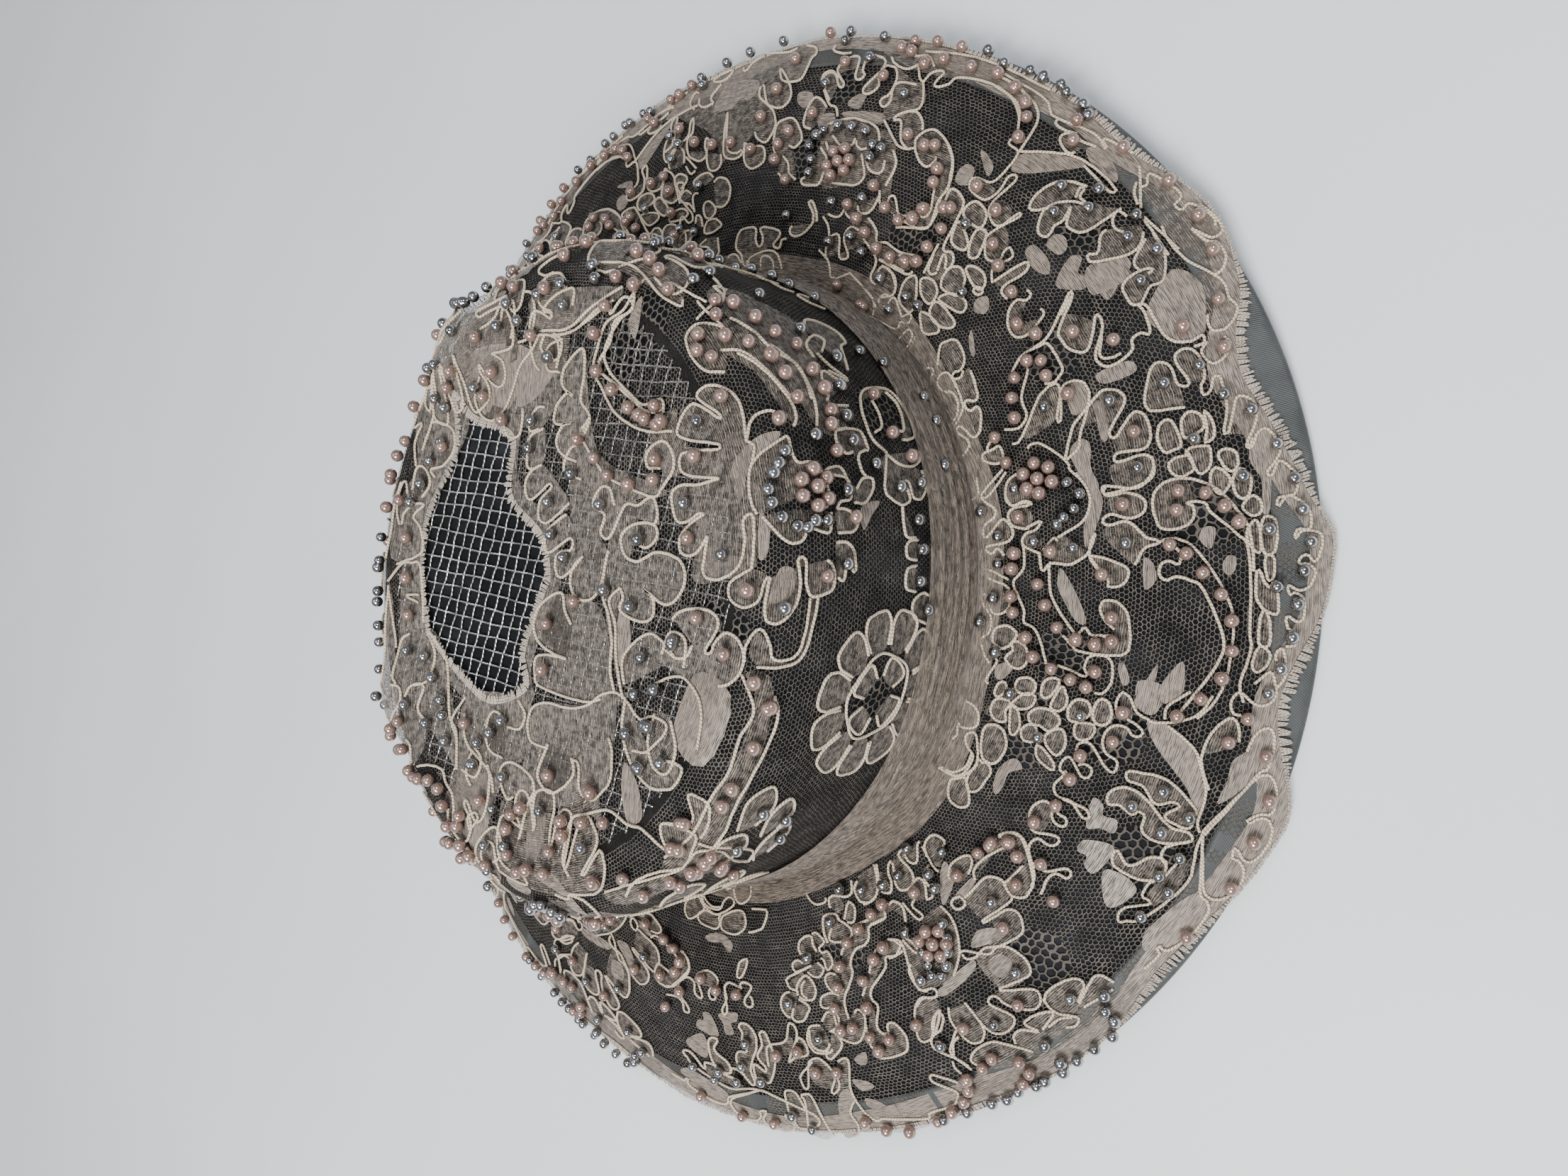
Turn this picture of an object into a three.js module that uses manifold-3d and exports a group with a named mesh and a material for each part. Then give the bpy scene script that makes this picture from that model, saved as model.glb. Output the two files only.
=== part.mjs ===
// A wide brim hat covered in beaded lace, in millimetres.
// +Z is up, the front faces -Y, and the hat rests on the front and back of its brim at Z = 0.
import * as THREE from 'three';
import { mergeVertices } from 'three/addons/utils/BufferGeometryUtils.js';
import Module from 'manifold-3d';

const wasm = await Module();
wasm.setup();

// Head opening and crown
const headHalfWidth = 97.7;
const headHalfDepth = 93.7;
const crownWall = 2;
const crownHeight = 75;
const crownLeanSide = -3.5;
const crownLeanBack = 5;

// Brim, measured from the foot of the crown
const brimWidthSide = 82.6;
const brimWidthFront = 86.6;
const brimThickness = 2;
const brimDropFront = 24.7;
const brimCrown = 7;
const edgeLiftSide = 11.7;
const baseDipSide = 3;

// Layers and trim
const seam = 0.3;
const netThickness = 0.8;
const laceThickness = 1;
const bindingWall = 0.8;
const bindingLip = 4;
const footWidth = 1.6;
const notchDepth = 7;
const bandFoot = 2.4;
const bandHeight = 17;
const bandThickness = 2.6;
const foldLift = 5;
const pearlRadius = 2;
const silverRadius = 1.9;
const clusterPlate = 1;

// How finely the faceted walls are cut round the hat
const sectors = 48;
const laceSectors = 96;
const plateSectors = 14;

// Crown section: height as a share of the crown, width and depth as shares of its half sizes at the foot.
const crownSection = [
  { height: 0, width: 1, depth: 1 },
  { height: 0.1, width: 0.99, depth: 0.985 },
  { height: 0.4, width: 0.992, depth: 0.96 },
  { height: 0.65, width: 1, depth: 0.94 },
  { height: 0.82, width: 1.002, depth: 0.918 },
  { height: 0.92, width: 0.98, depth: 0.885 },
  { height: 0.975, width: 0.93, depth: 0.84 },
  { height: 1, width: 0.84, depth: 0.76 },
];

// Rows across the brim, as shares of its width.
const brimRows = [0, 0.2, 0.4, 0.6, 0.8, 1];

// Opening of the lace over the tip: the direction of each point from the opening's middle in degrees,
// and its distance as a share of the tip's half width.
const openingMiddle = { side: 0.065, back: 0.33 };
const openingOutline = [
  { angle: -98, reach: 0.32 },
  { angle: -72, reach: 0.28 },
  { angle: -29, reach: 0.24 },
  { angle: -17, reach: 0.4 },
  { angle: 11, reach: 0.48 },
  { angle: 19, reach: 0.6 },
  { angle: 30, reach: 0.41 },
  { angle: 72, reach: 0.35 },
  { angle: 134, reach: 0.4 },
  { angle: 165, reach: 0.43 },
  { angle: 188, reach: 0.5 },
  { angle: 210, reach: 0.49 },
  { angle: 218, reach: 0.37 },
  { angle: 250, reach: 0.31 },
];

// Notches between the scallops of the lace edge: middle and half width in degrees, and the share of the
// notch depth. The front two leave the satin edge bare.
const laceNotches = [
  { angle: 8, spread: 8, depth: 0.5 },
  { angle: 40, spread: 7, depth: 0.3 },
  { angle: 70, spread: 9, depth: 0.7 },
  { angle: 101, spread: 7, depth: 0.4 },
  { angle: 132, spread: 8, depth: 0.6 },
  { angle: 165, spread: 7, depth: 0.4 },
  { angle: 198, spread: 7, depth: 0.3 },
  { angle: 233, spread: 6, depth: 0.3 },
  { angle: 261.5, spread: 7, depth: 0.6 },
  { angle: 290.5, spread: 9, depth: 1 },
  { angle: 316, spread: 6, depth: 0.35 },
  { angle: 342, spread: 7, depth: 0.4 },
];

// Places round the crown's shoulder where the lace was left loose: middle and half width in degrees, and
// the share of the fold lift.
const laceFolds = [
  { angle: 36, spread: 16, lift: 1 },
  { angle: 118, spread: 12, lift: 0.7 },
];

// Gathers of the hat band: height as a share of the band, thickness as a share of its full thickness.
const bandSection = [
  { height: 0, thickness: 0.35 },
  { height: 0.1, thickness: 1 },
  { height: 0.25, thickness: 0.5 },
  { height: 0.4, thickness: 0.95 },
  { height: 0.56, thickness: 0.45 },
  { height: 0.72, thickness: 0.85 },
  { height: 0.88, thickness: 0.4 },
  { height: 1, thickness: 0.2 },
];

// Bead clusters in the hearts of the lace roses: where they sit on the brim (share of its width from the
// crown) or on the crown (share of its height), direction round the hat and turn, both in degrees.
const roses = [
  { on: 'brim', angle: 285.5, share: 0.24, turn: 0 },
  { on: 'brim', angle: 343, share: 0.47, turn: 20 },
  { on: 'brim', angle: 41, share: 0.36, turn: -15 },
  { on: 'brim', angle: 100, share: 0.45, turn: 10 },
  { on: 'brim', angle: 160, share: 0.36, turn: -10 },
  { on: 'brim', angle: 221, share: 0.45, turn: 25 },
  { on: 'crown', angle: 285, share: 0.85, turn: 0 },
];

const degrees = Math.PI / 180;
const crownHalfWidth = headHalfWidth + crownWall;
const crownHalfDepth = headHalfDepth + crownWall;
const footing = seam + laceThickness + seam;
const brimInnerWidth = crownHalfWidth + footing;
const brimInnerDepth = crownHalfDepth + footing;
const laceOverNet = seam + netThickness + seam;
const up = new THREE.Vector3(0, 0, 1);

// Height of the brim edge that puts the outer foot of the binding at Z = 0.
const lastRow = brimRows[brimRows.length - 2];
const lastStripWidth = brimWidthFront * (1 - lastRow);
const lastStripDrop = brimDropFront * (1 - lastRow) + brimCrown * Math.sin(Math.PI * lastRow);
const edgeSlope = Math.atan2(lastStripDrop, lastStripWidth);
const bindingDepth = brimThickness + seam + bindingWall;
const edgeHeight = seam * Math.sin(edgeSlope) + bindingDepth * Math.cos(edgeSlope);
const baseHeight = edgeHeight + brimDropFront;
const tipHeight = baseHeight + crownHeight;

// Angles round the hat, evenly spaced.
function directions(count) {
  return Array.from({ length: count }, (_, index) => (2 * Math.PI * index) / count);
}

// A smooth step from 0 to 1.
function ease(value) {
  const clamped = THREE.MathUtils.clamp(value, 0, 1);
  return clamped * clamped * (3 - 2 * clamped);
}

// 1 at the middle of a notch or fold, falling to 0 at its half width.
function bump(angle, feature) {
  const turn = Math.abs(angle / degrees - feature.angle) % 360;
  const away = Math.min(turn, 360 - turn);
  return 1 - ease(away / feature.spread);
}

// Height of the crown's foot, which dips at the sides.
function footHeight(angle) {
  return baseHeight - baseDipSide * Math.cos(angle) ** 2;
}

// Lift of the brim edge: flat at the front and back, raised at the sides.
function edgeLift(angle) {
  const flatShare = 0.2;
  return edgeLiftSide * ease((Math.abs(Math.cos(angle)) - flatShare) / (1 - flatShare));
}

// A point on the brim's upper face. A share below 0 runs level under the crown wall to the head opening.
function brimPoint(share, angle) {
  const outward = Math.max(share, 0);
  const width = share < 0 ? headHalfWidth : brimInnerWidth + brimWidthSide * outward;
  const depth = share < 0 ? headHalfDepth : brimInnerDepth + brimWidthFront * outward;
  const foot = footHeight(angle);
  const edge = edgeHeight + edgeLift(angle);
  const height = foot + (edge - foot) * outward + brimCrown * Math.sin(Math.PI * outward);
  return new THREE.Vector3(width * Math.cos(angle), depth * Math.sin(angle), height);
}

// A point on the crown's outer face at a share of its height.
function crownPoint(share, angle) {
  const above = crownSection.findIndex((row) => row.height >= share && row.height > 0);
  const [low, high] = [crownSection[above - 1], crownSection[above]];
  const part = (share - low.height) / (high.height - low.height);
  const width = crownHalfWidth * THREE.MathUtils.lerp(low.width, high.width, part);
  const depth = crownHalfDepth * THREE.MathUtils.lerp(low.depth, high.depth, part);
  return new THREE.Vector3(
    width * Math.cos(angle) + crownLeanSide * share,
    depth * Math.sin(angle) + crownLeanBack * share,
    THREE.MathUtils.lerp(footHeight(angle) + seam, tipHeight, share),
  );
}

// The normal of the strip of surface between two shares, at one direction round the hat.
function stripNormal(surface, from, to, angle) {
  const step = Math.PI / sectors;
  const across = surface(to, angle).sub(surface(from, angle));
  const around = surface(from, angle + step).add(surface(to, angle + step));
  around.sub(surface(from, angle - step)).sub(surface(to, angle - step));
  return around.cross(across).normalize();
}

// The crown's outward normal over one strip.
function crownNormal(from, to, angle) {
  return stripNormal(crownPoint, from, to, angle);
}

// The brim's upward normal over one strip.
function brimNormal(from, to, angle) {
  return stripNormal(brimPoint, to, from, angle);
}

// The step that moves a corner between two strips so that both strips move by one unit.
function miter(first, second) {
  return first.clone().add(second).divideScalar(1 + first.dot(second));
}

// A point of the crown's surface moved outward from one row of the section.
function crownOffset(row, angle, offset) {
  const shares = crownSection.map((section) => section.height);
  const place = crownPoint(shares[row], angle);
  if (row === 0) {
    return place.add(levelStep(0, angle).multiplyScalar(offset));
  }
  const below = crownNormal(shares[row - 1], shares[row], angle);
  const isShoulder = row === shares.length - 1;
  const above = isShoulder ? up : crownNormal(shares[row], shares[row + 1], angle);
  return place.add(miter(below, above).multiplyScalar(offset));
}

// The level step that moves the crown wall outward by one unit.
function levelStep(share, angle) {
  const slice = 0.05;
  const normal = crownNormal(share, share + slice, angle);
  const level = normal.clone().setZ(0).normalize();
  return level.divideScalar(level.dot(normal));
}

// A point of the brim's surface moved along its normal.
function brimOffset(share, angle, offset) {
  const place = brimPoint(share, angle);
  const row = brimRows.findIndex((value) => value >= share);
  if (share < 0) {
    return place.addScaledVector(up, offset);
  }
  const inRow = brimRows[row] === share;
  const before = row === 0 ? up : brimNormal(brimRows[row - 1], brimRows[row], angle);
  const isLast = row === brimRows.length - 1;
  const after = isLast || !inRow ? before : brimNormal(share, brimRows[row + 1], angle);
  return place.addScaledVector(miter(before, after), offset);
}

// A closed body from rings of points. With poles the first and last rings are closed by fans, and
// without them the last ring joins the first.
function bodyFromRings(rings, poles = null) {
  const count = rings[0].length;
  const points = rings.flat();
  const faces = [];
  const strips = poles ? rings.length - 1 : rings.length;
  for (let row = 0; row < strips; row += 1) {
    const next = (row + 1) % rings.length;
    for (let side = 0; side < count; side += 1) {
      const after = (side + 1) % count;
      const [a, b] = [row * count + side, row * count + after];
      const [c, d] = [next * count + after, next * count + side];
      faces.push(a, b, c, a, c, d);
    }
  }
  if (poles) {
    const last = (rings.length - 1) * count;
    points.push(poles[0], poles[1]);
    for (let side = 0; side < count; side += 1) {
      const after = (side + 1) % count;
      faces.push(points.length - 2, after, side);
      faces.push(points.length - 1, last + side, last + after);
    }
  }
  return solidGeometry(points, faces);
}

// A geometry whose faces point outward, from points and triples of point numbers.
function solidGeometry(points, faces) {
  let volume = 0;
  for (let corner = 0; corner < faces.length; corner += 3) {
    const [a, b, c] = faces.slice(corner, corner + 3).map((index) => points[index]);
    volume += a.dot(b.clone().cross(c));
  }
  const geometry = new THREE.BufferGeometry().setFromPoints(points);
  geometry.setIndex(volume > 0 ? faces : faces.reverse());
  geometry.computeVertexNormals();
  return geometry;
}

function namedMesh(name, geometry, colour, roughness, metalness = 0) {
  const material = new THREE.MeshStandardMaterial({ color: colour, roughness, metalness });
  const mesh = new THREE.Mesh(geometry, material);
  mesh.name = name;
  return mesh;
}

const around = directions(sectors);
const crownRowNumbers = crownSection.map((_, row) => row);

function crownTip(height) {
  return new THREE.Vector3(crownLeanSide, crownLeanBack, tipHeight + height);
}

// Stiff crown: an open-bottomed wall with a flat tip.
function crownShell() {
  const ring = (offset) => (row) => around.map((angle) => crownOffset(row, angle, offset));
  const outside = crownRowNumbers.map(ring(0)).reverse();
  const inside = crownRowNumbers.map(ring(-crownWall));
  return bodyFromRings([...outside, ...inside], [crownTip(0), crownTip(-crownWall)]);
}

// Stiff brim: an arched ring that runs in under the crown wall to the head opening.
function brimShell() {
  const rows = [-1, ...brimRows];
  const ring = (offset) => (share) => around.map((angle) => brimOffset(share, angle, offset));
  return bodyFromRings([...rows.map(ring(0)), ...rows.map(ring(-brimThickness)).reverse()]);
}

// Satin binding folded round the brim edge, with a narrow level foot.
function brimBinding() {
  const face = seam + bindingWall;
  const under = -brimThickness;
  const section = (angle) => {
    const corner = brimPoint(1, angle);
    const normal = brimNormal(lastRow, 1, angle);
    const outward = brimPoint(1, angle).sub(brimPoint(lastRow, angle)).normalize();
    const at = (along, rise) => corner.clone().addScaledVector(outward, along)
      .addScaledVector(normal, rise);
    const level = outward.clone().setZ(0).normalize();
    const foot = at(seam, under - face).addScaledVector(level, footWidth);
    return [
      at(-bindingLip, seam),
      at(-bindingLip, face),
      at(seam, face),
      at(face, 0),
      foot,
      at(seam, under - face),
      at(-bindingLip, under - face),
      at(-bindingLip, under - seam),
      at(seam, under - seam),
      at(seam, seam),
    ];
  };
  const sections = around.map(section);
  return bodyFromRings(sections[0].map((_, side) => sections.map((points) => points[side])));
}

// Open metallic net: a flat disc laid over the crown's tip, short of the shoulder.
function tipNet() {
  const reach = 0.97;
  const ring = (rise) => around.map((angle) => {
    const centre = crownTip(rise);
    return crownPoint(1, angle).setZ(tipHeight + rise).lerp(centre, 1 - reach);
  });
  const [low, high] = [seam, seam + netThickness];
  return bodyFromRings([ring(high), ring(low)], [crownTip(high), crownTip(low)]);
}

// Distance of the opening's edge from its middle in one direction.
function openingReach(angle) {
  const rows = openingOutline.length;
  const start = openingOutline[0].angle;
  const turn = THREE.MathUtils.euclideanModulo(angle / degrees - start, 360) + start;
  const after = openingOutline.findIndex((row) => row.angle > turn);
  const high = after < 0 ? { ...openingOutline[0], angle: start + 360 } : openingOutline[after];
  const low = after < 0 ? openingOutline[rows - 1] : openingOutline[after - 1];
  const part = (turn - low.angle) / (high.angle - low.angle);
  return THREE.MathUtils.lerp(low.reach, high.reach, part) * tipHalfWidth;
}

const shoulder = crownSection[crownSection.length - 1];
const tipHalfWidth = crownHalfWidth * shoulder.width;
const tipHalfDepth = crownHalfDepth * shoulder.depth;

// A point on the edge of the lace opening over the tip.
function openingPoint(angle, rise) {
  const reach = openingReach(angle);
  return crownTip(rise).add(new THREE.Vector3(
    openingMiddle.side * tipHalfWidth + reach * Math.cos(angle),
    openingMiddle.back * tipHalfDepth + reach * Math.sin(angle),
    0,
  ));
}

// Lace over the crown: a skin from the brim to the opening in the tip, loose at the folds.
function crownLace() {
  const shoulderRows = 2;
  const firstLoose = crownSection.length - shoulderRows - 1;
  const inner = (row, angle) => {
    const base = row === crownSection.length - 1 ? laceOverNet : seam;
    const loose = laceFolds.reduce((total, fold) => total + fold.lift * bump(angle, fold), 0);
    return base + (row >= firstLoose ? foldLift * loose : 0);
  };
  const ring = (thickness) => (row) => around.map(
    (angle) => crownOffset(row, angle, inner(row, angle) + thickness),
  );
  const edge = (rise) => around.map((angle) => openingPoint(angle, rise));
  return bodyFromRings([
    ...crownRowNumbers.map(ring(laceThickness)),
    edge(laceOverNet + laceThickness),
    edge(laceOverNet),
    ...crownRowNumbers.map(ring(0)).reverse(),
  ]);
}

// Share of the brim's width that the lace reaches in one direction.
function laceReach(angle) {
  const notch = laceNotches.reduce((deepest, row) => Math.max(deepest, row.depth * bump(angle, row)), 0);
  const width = Math.hypot(brimWidthSide * Math.cos(angle), brimWidthFront * Math.sin(angle));
  return 1 - (bindingLip + seam + notchDepth * notch) / width;
}

// Lace over the brim: a skin from the crown to its scalloped outer edge.
function brimLace() {
  const directionsRound = directions(laceSectors);
  const ring = (offset) => (share) => directionsRound.map(
    (angle) => brimOffset(share ?? laceReach(angle), angle, offset),
  );
  const rows = [...brimRows.slice(0, -1), null];
  const outside = rows.map(ring(seam + laceThickness));
  return bodyFromRings([...outside, ...rows.map(ring(seam)).reverse()]);
}

// Gathered hat band round the foot of the crown.
function hatBand() {
  const ring = (heightShare, offset) => around.map((angle) => {
    const share = (bandFoot + bandHeight * heightShare) / crownHeight;
    const step = levelStep(share, angle);
    return crownPoint(share, angle).addScaledVector(step, footing + offset);
  });
  const gathers = bandSection.map((row) => ring(row.height, bandThickness * row.thickness));
  const kink = (crownSection[1].height * crownHeight - bandFoot) / bandHeight;
  return bodyFromRings([...gathers, ring(1, 0), ring(kink, 0), ring(0, 0)]);
}

// A three.js geometry as a solid that can be joined to others.
function toSolid(geometry) {
  const bare = geometry.clone();
  bare.deleteAttribute('normal');
  bare.deleteAttribute('uv');
  const merged = mergeVertices(bare);
  return new wasm.Manifold(new wasm.Mesh({
    numProp: 3,
    vertProperties: new Float32Array(merged.attributes.position.array),
    triVerts: new Uint32Array(merged.index.array),
  }));
}

function toGeometry(solid) {
  const mesh = solid.getMesh();
  const geometry = new THREE.BufferGeometry();
  geometry.setAttribute('position', new THREE.BufferAttribute(mesh.vertProperties, 3));
  geometry.setIndex(new THREE.BufferAttribute(mesh.triVerts, 1));
  geometry.computeVertexNormals();
  return geometry;
}

// Pearls in a knot with an arc of silver beads below them, on one small plate.
function beadCluster() {
  const ringPearls = 6;
  const arcBeads = 7;
  const arcSpan = 190 * degrees;
  const sink = 0.9;
  const pearlReach = pearlRadius * 2 + seam;
  const arcRadius = pearlReach + pearlRadius + silverRadius + seam;
  const plateRadius = arcRadius + silverRadius / 2;
  const profile = [
    new THREE.Vector2(0, 0),
    new THREE.Vector2(plateRadius, 0),
    new THREE.Vector2(plateRadius, clusterPlate / 2),
    new THREE.Vector2(plateRadius - clusterPlate / 2, clusterPlate),
    new THREE.Vector2(0, clusterPlate),
  ];
  const plate = new THREE.LatheGeometry(profile, plateSectors).rotateX(Math.PI / 2);
  const bead = (radius, x, y) => new THREE.IcosahedronGeometry(radius, 0)
    .translate(x, y, clusterPlate + radius - sink);
  const pieces = [bead(pearlRadius, 0, 0)];
  for (let index = 0; index < ringPearls; index += 1) {
    const turn = (2 * Math.PI * index) / ringPearls;
    pieces.push(bead(pearlRadius, pearlReach * Math.cos(turn), pearlReach * Math.sin(turn)));
  }
  for (let index = 0; index < arcBeads; index += 1) {
    const turn = -Math.PI / 2 + arcSpan * (index / (arcBeads - 1) - 0.5);
    pieces.push(bead(silverRadius, arcRadius * Math.cos(turn), arcRadius * Math.sin(turn)));
  }
  const joined = pieces.reduce((solid, piece) => solid.add(toSolid(piece)), toSolid(plate));
  return toGeometry(joined);
}

// A bead cluster seated on the lace, its flat back a seam above it.
function placedCluster(rose, index) {
  const onBrim = rose.on === 'brim';
  const [surface, normalOf] = onBrim ? [brimPoint, brimNormal] : [crownPoint, crownNormal];
  const slice = 0.05;
  const angle = rose.angle * degrees;
  const normal = normalOf(rose.share - slice, rose.share + slice, angle);
  const place = surface(rose.share, angle).addScaledVector(normal, footing);
  const across = new THREE.Vector3(-Math.sin(angle), Math.cos(angle), 0);
  const rise = normal.clone().cross(across).normalize();
  const basis = new THREE.Matrix4().makeBasis(across, rise, normal);
  const mesh = namedMesh(`rose_beads_${index + 1}`, beadCluster(), 0xb9a098, 0.3, 0.4);
  mesh.quaternion.setFromRotationMatrix(basis);
  mesh.rotateZ(rose.turn * degrees);
  mesh.position.copy(place);
  return mesh;
}

const hat = new THREE.Group();
hat.add(namedMesh('crown_shell', crownShell(), 0x24262b, 0.85));
hat.add(namedMesh('brim_shell', brimShell(), 0x2b2d31, 0.8));
hat.add(namedMesh('brim_binding', brimBinding(), 0x6f7374, 0.4));
hat.add(namedMesh('tip_net', tipNet(), 0xc9c9c6, 0.3, 0.9));
hat.add(namedMesh('crown_lace', crownLace(), 0xa8988d, 0.7));
hat.add(namedMesh('brim_lace', brimLace(), 0xa8988d, 0.7));
hat.add(namedMesh('hat_band', hatBand(), 0x6e6155, 0.8));
hat.add(...roses.map(placedCluster));

export default hat;
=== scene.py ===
import math
import bpy
import numpy as np
from mathutils import Matrix, Vector
from mathutils.geometry import delaunay_2d_cdt


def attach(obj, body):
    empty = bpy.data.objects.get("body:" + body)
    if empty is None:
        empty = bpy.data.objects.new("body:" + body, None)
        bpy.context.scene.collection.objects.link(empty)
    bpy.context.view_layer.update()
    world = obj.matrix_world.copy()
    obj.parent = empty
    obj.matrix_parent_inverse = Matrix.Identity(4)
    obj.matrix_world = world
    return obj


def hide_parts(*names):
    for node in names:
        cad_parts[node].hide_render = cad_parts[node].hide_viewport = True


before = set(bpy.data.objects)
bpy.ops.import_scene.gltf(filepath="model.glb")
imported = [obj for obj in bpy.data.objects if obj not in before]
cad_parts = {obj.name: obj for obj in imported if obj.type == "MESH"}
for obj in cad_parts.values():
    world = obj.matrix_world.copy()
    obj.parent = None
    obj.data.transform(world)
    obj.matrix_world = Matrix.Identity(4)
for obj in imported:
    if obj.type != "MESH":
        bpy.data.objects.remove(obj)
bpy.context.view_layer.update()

rng = np.random.default_rng(7)
mm = 0.001

# camera first: the photograph stands on its side, so the camera is rolled with it
view = {"target": (-0.0026, -0.0118, 0.008), "distance": 0.41, "elevation": 53.5, "roll": 3.2, "lens": 27.0}


def placeCamera():
    tilt, roll = math.radians(view["elevation"]), math.radians(view["roll"])
    forward = Vector((0, math.cos(tilt), -math.sin(tilt)))
    right, up = Vector((1, 0, 0)), Vector((0, math.sin(tilt), math.cos(tilt)))
    pageRight = right * math.cos(roll) + up * math.sin(roll)
    pageUp = up * math.cos(roll) - right * math.sin(roll)
    data = bpy.data.cameras.new("photoCamera")
    data.lens, data.sensor_width = view["lens"], 36.0
    data.clip_start, data.clip_end = 0.01, 20
    camera = bpy.data.objects.new("photoCamera", data)
    bpy.context.scene.collection.objects.link(camera)
    axes = Matrix((-pageUp, pageRight, -forward)).transposed().to_4x4()
    axes.translation = Vector(view["target"]) - forward * view["distance"]
    camera.matrix_world = axes
    bpy.context.scene.camera = camera


placeCamera()
print("camera placed")

# the hat's surfaces in millimetres, with the same sizes as the CAD part
hat = {
    "crownHalf": (99.7, 95.7), "brimInner": (101.3, 97.3), "brimWidth": (82.6, 86.6), "wall": 2.0, "seam": 0.3,
    "footHeight": 27.6, "footDip": 3.0, "edgeHeight": 2.9, "edgeLift": 11.7, "brimArch": 7.0,
    "tipHeight": 102.6, "lean": (-3.5, 5.0), "foldLift": 5.0,
    "folds": [(36, 16, 1.0), (118, 12, 0.7)],  # direction, half width, share of the lift
}
# crown section: arc up from the foot, then height, width and depth as shares
crownRows = np.array([
    (-6, -0.075, 1.005, 1.01), (0, 0, 1, 1), (8, 0.1, 0.99, 0.985), (31.7, 0.4, 0.992, 0.96), (51.5, 0.65, 1, 0.94),
    (64.9, 0.82, 1.002, 0.918), (73.3, 0.92, 0.98, 0.885), (79.7, 0.975, 0.93, 0.84), (88.4, 1, 0.84, 0.76),
    (125, 1, 0.452, 0.409), (167.6, 1, 0, 0),
])
shoulderArc, centreArc = 88.4, 167.6


def ease(value):
    value = np.clip(value, 0, 1)
    return value * value * (3 - 2 * value)


def footZ(angle):
    return hat["footHeight"] - hat["footDip"] * np.cos(angle) ** 2


def rowCurve(column):
    knots, values = crownRows[:, 0], crownRows[:, column]
    slopes = np.gradient(values, knots)
    slopes[knots >= shoulderArc] = (values[-1] - values[-3]) / (knots[-1] - knots[-3])

    def read(arc):
        arc = np.clip(arc, knots[0], knots[-1])
        k = np.clip(np.searchsorted(knots, arc, side="right") - 1, 0, len(knots) - 2)
        run = knots[k + 1] - knots[k]
        t = (arc - knots[k]) / run
        return ((1 + 2 * t) * (1 - t) ** 2 * values[k] + t * (1 - t) ** 2 * run * slopes[k]
                + t * t * (3 - 2 * t) * values[k + 1] + t * t * (t - 1) * run * slopes[k + 1])
    return read


heightAt, widthAt, depthAt = rowCurve(1), rowCurve(2), rowCurve(3)


def crownSurface(degrees, arc):
    a, h = np.radians(degrees), heightAt(arc)
    x = hat["crownHalf"][0] * widthAt(arc) * np.cos(a) + hat["lean"][0] * h
    y = hat["crownHalf"][1] * depthAt(arc) * np.sin(a) + hat["lean"][1] * h
    foot = footZ(a) + hat["seam"]
    return np.stack([x, y, foot + (hat["tipHeight"] - foot) * h], -1)


def brimSurface(degrees, out):
    a = np.radians(degrees)
    share = (out - 0.31) / 86.55
    x = (hat["brimInner"][0] + hat["brimWidth"][0] * share) * np.cos(a)
    y = (hat["brimInner"][1] + hat["brimWidth"][1] * share) * np.sin(a)
    edge = hat["edgeHeight"] + hat["edgeLift"] * ease((np.abs(np.cos(a)) - 0.2) / 0.8)
    return np.stack([x, y, footZ(a) + (edge - footZ(a)) * share + hat["brimArch"] * np.sin(np.pi * share)], -1)


def tipToCrown(x, y):
    dx, dy = (x - hat["lean"][0]) / 83.75, (y - hat["lean"][1]) / 72.73
    r = np.hypot(dx, dy)
    arc = np.where(r <= 1, centreArc - r * (centreArc - shoulderArc), shoulderArc - (r - 1) * 80)
    return np.degrees(np.arctan2(dy, dx)), arc


def tipSurface(x, y):
    return crownSurface(*tipToCrown(x, y))


def crownRise(degrees, arc):
    loose = sum(lift * (1 - ease(np.abs((degrees - at + 180) % 360 - 180) / wide)) for at, wide, lift in hat["folds"])
    loose = loose * ease((arc - 60) / 15) * (1 - ease((arc - 88) / 22))
    return 0.5 + 1.1 * ease((arc - 80) / 8) + hat["foldLift"] * loose


# a chart is a flat page of lace: degrees round the hat and mm out or up from the crown's foot, or plain mm on the tip
charts = {
    "brim": {"surface": brimSurface, "rise": lambda p, q: 0.5 + 0 * p, "wide": lambda q: math.radians(99 + q),
        "flip": -1},
    "crown": {"surface": crownSurface, "rise": crownRise, "wide": lambda q: math.radians(97 - 0.7 * max(q - 74, 0)),
        "flip": 1},
    "tip": {"surface": tipSurface, "rise": lambda x, y: crownRise(*tipToCrown(x, y)), "wide": lambda q: 1.0,
        "flip": 1},
}


def lay(chart, p, q, lift=0.0, onLace=True):
    page, e = charts[chart], 0.2
    p, q = np.broadcast_arrays(np.asarray(p, float), np.asarray(q, float))
    surface = page["surface"]
    normal = np.cross(surface(p + e, q) - surface(p - e, q), surface(p, q + e) - surface(p, q - e)) * page["flip"]
    normal /= np.linalg.norm(normal, axis=-1, keepdims=True) + 1e-12
    height = lift + (page["rise"](p, q) if onLace else 0 * p)
    return surface(p, q) + normal * height[..., None], normal


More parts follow.
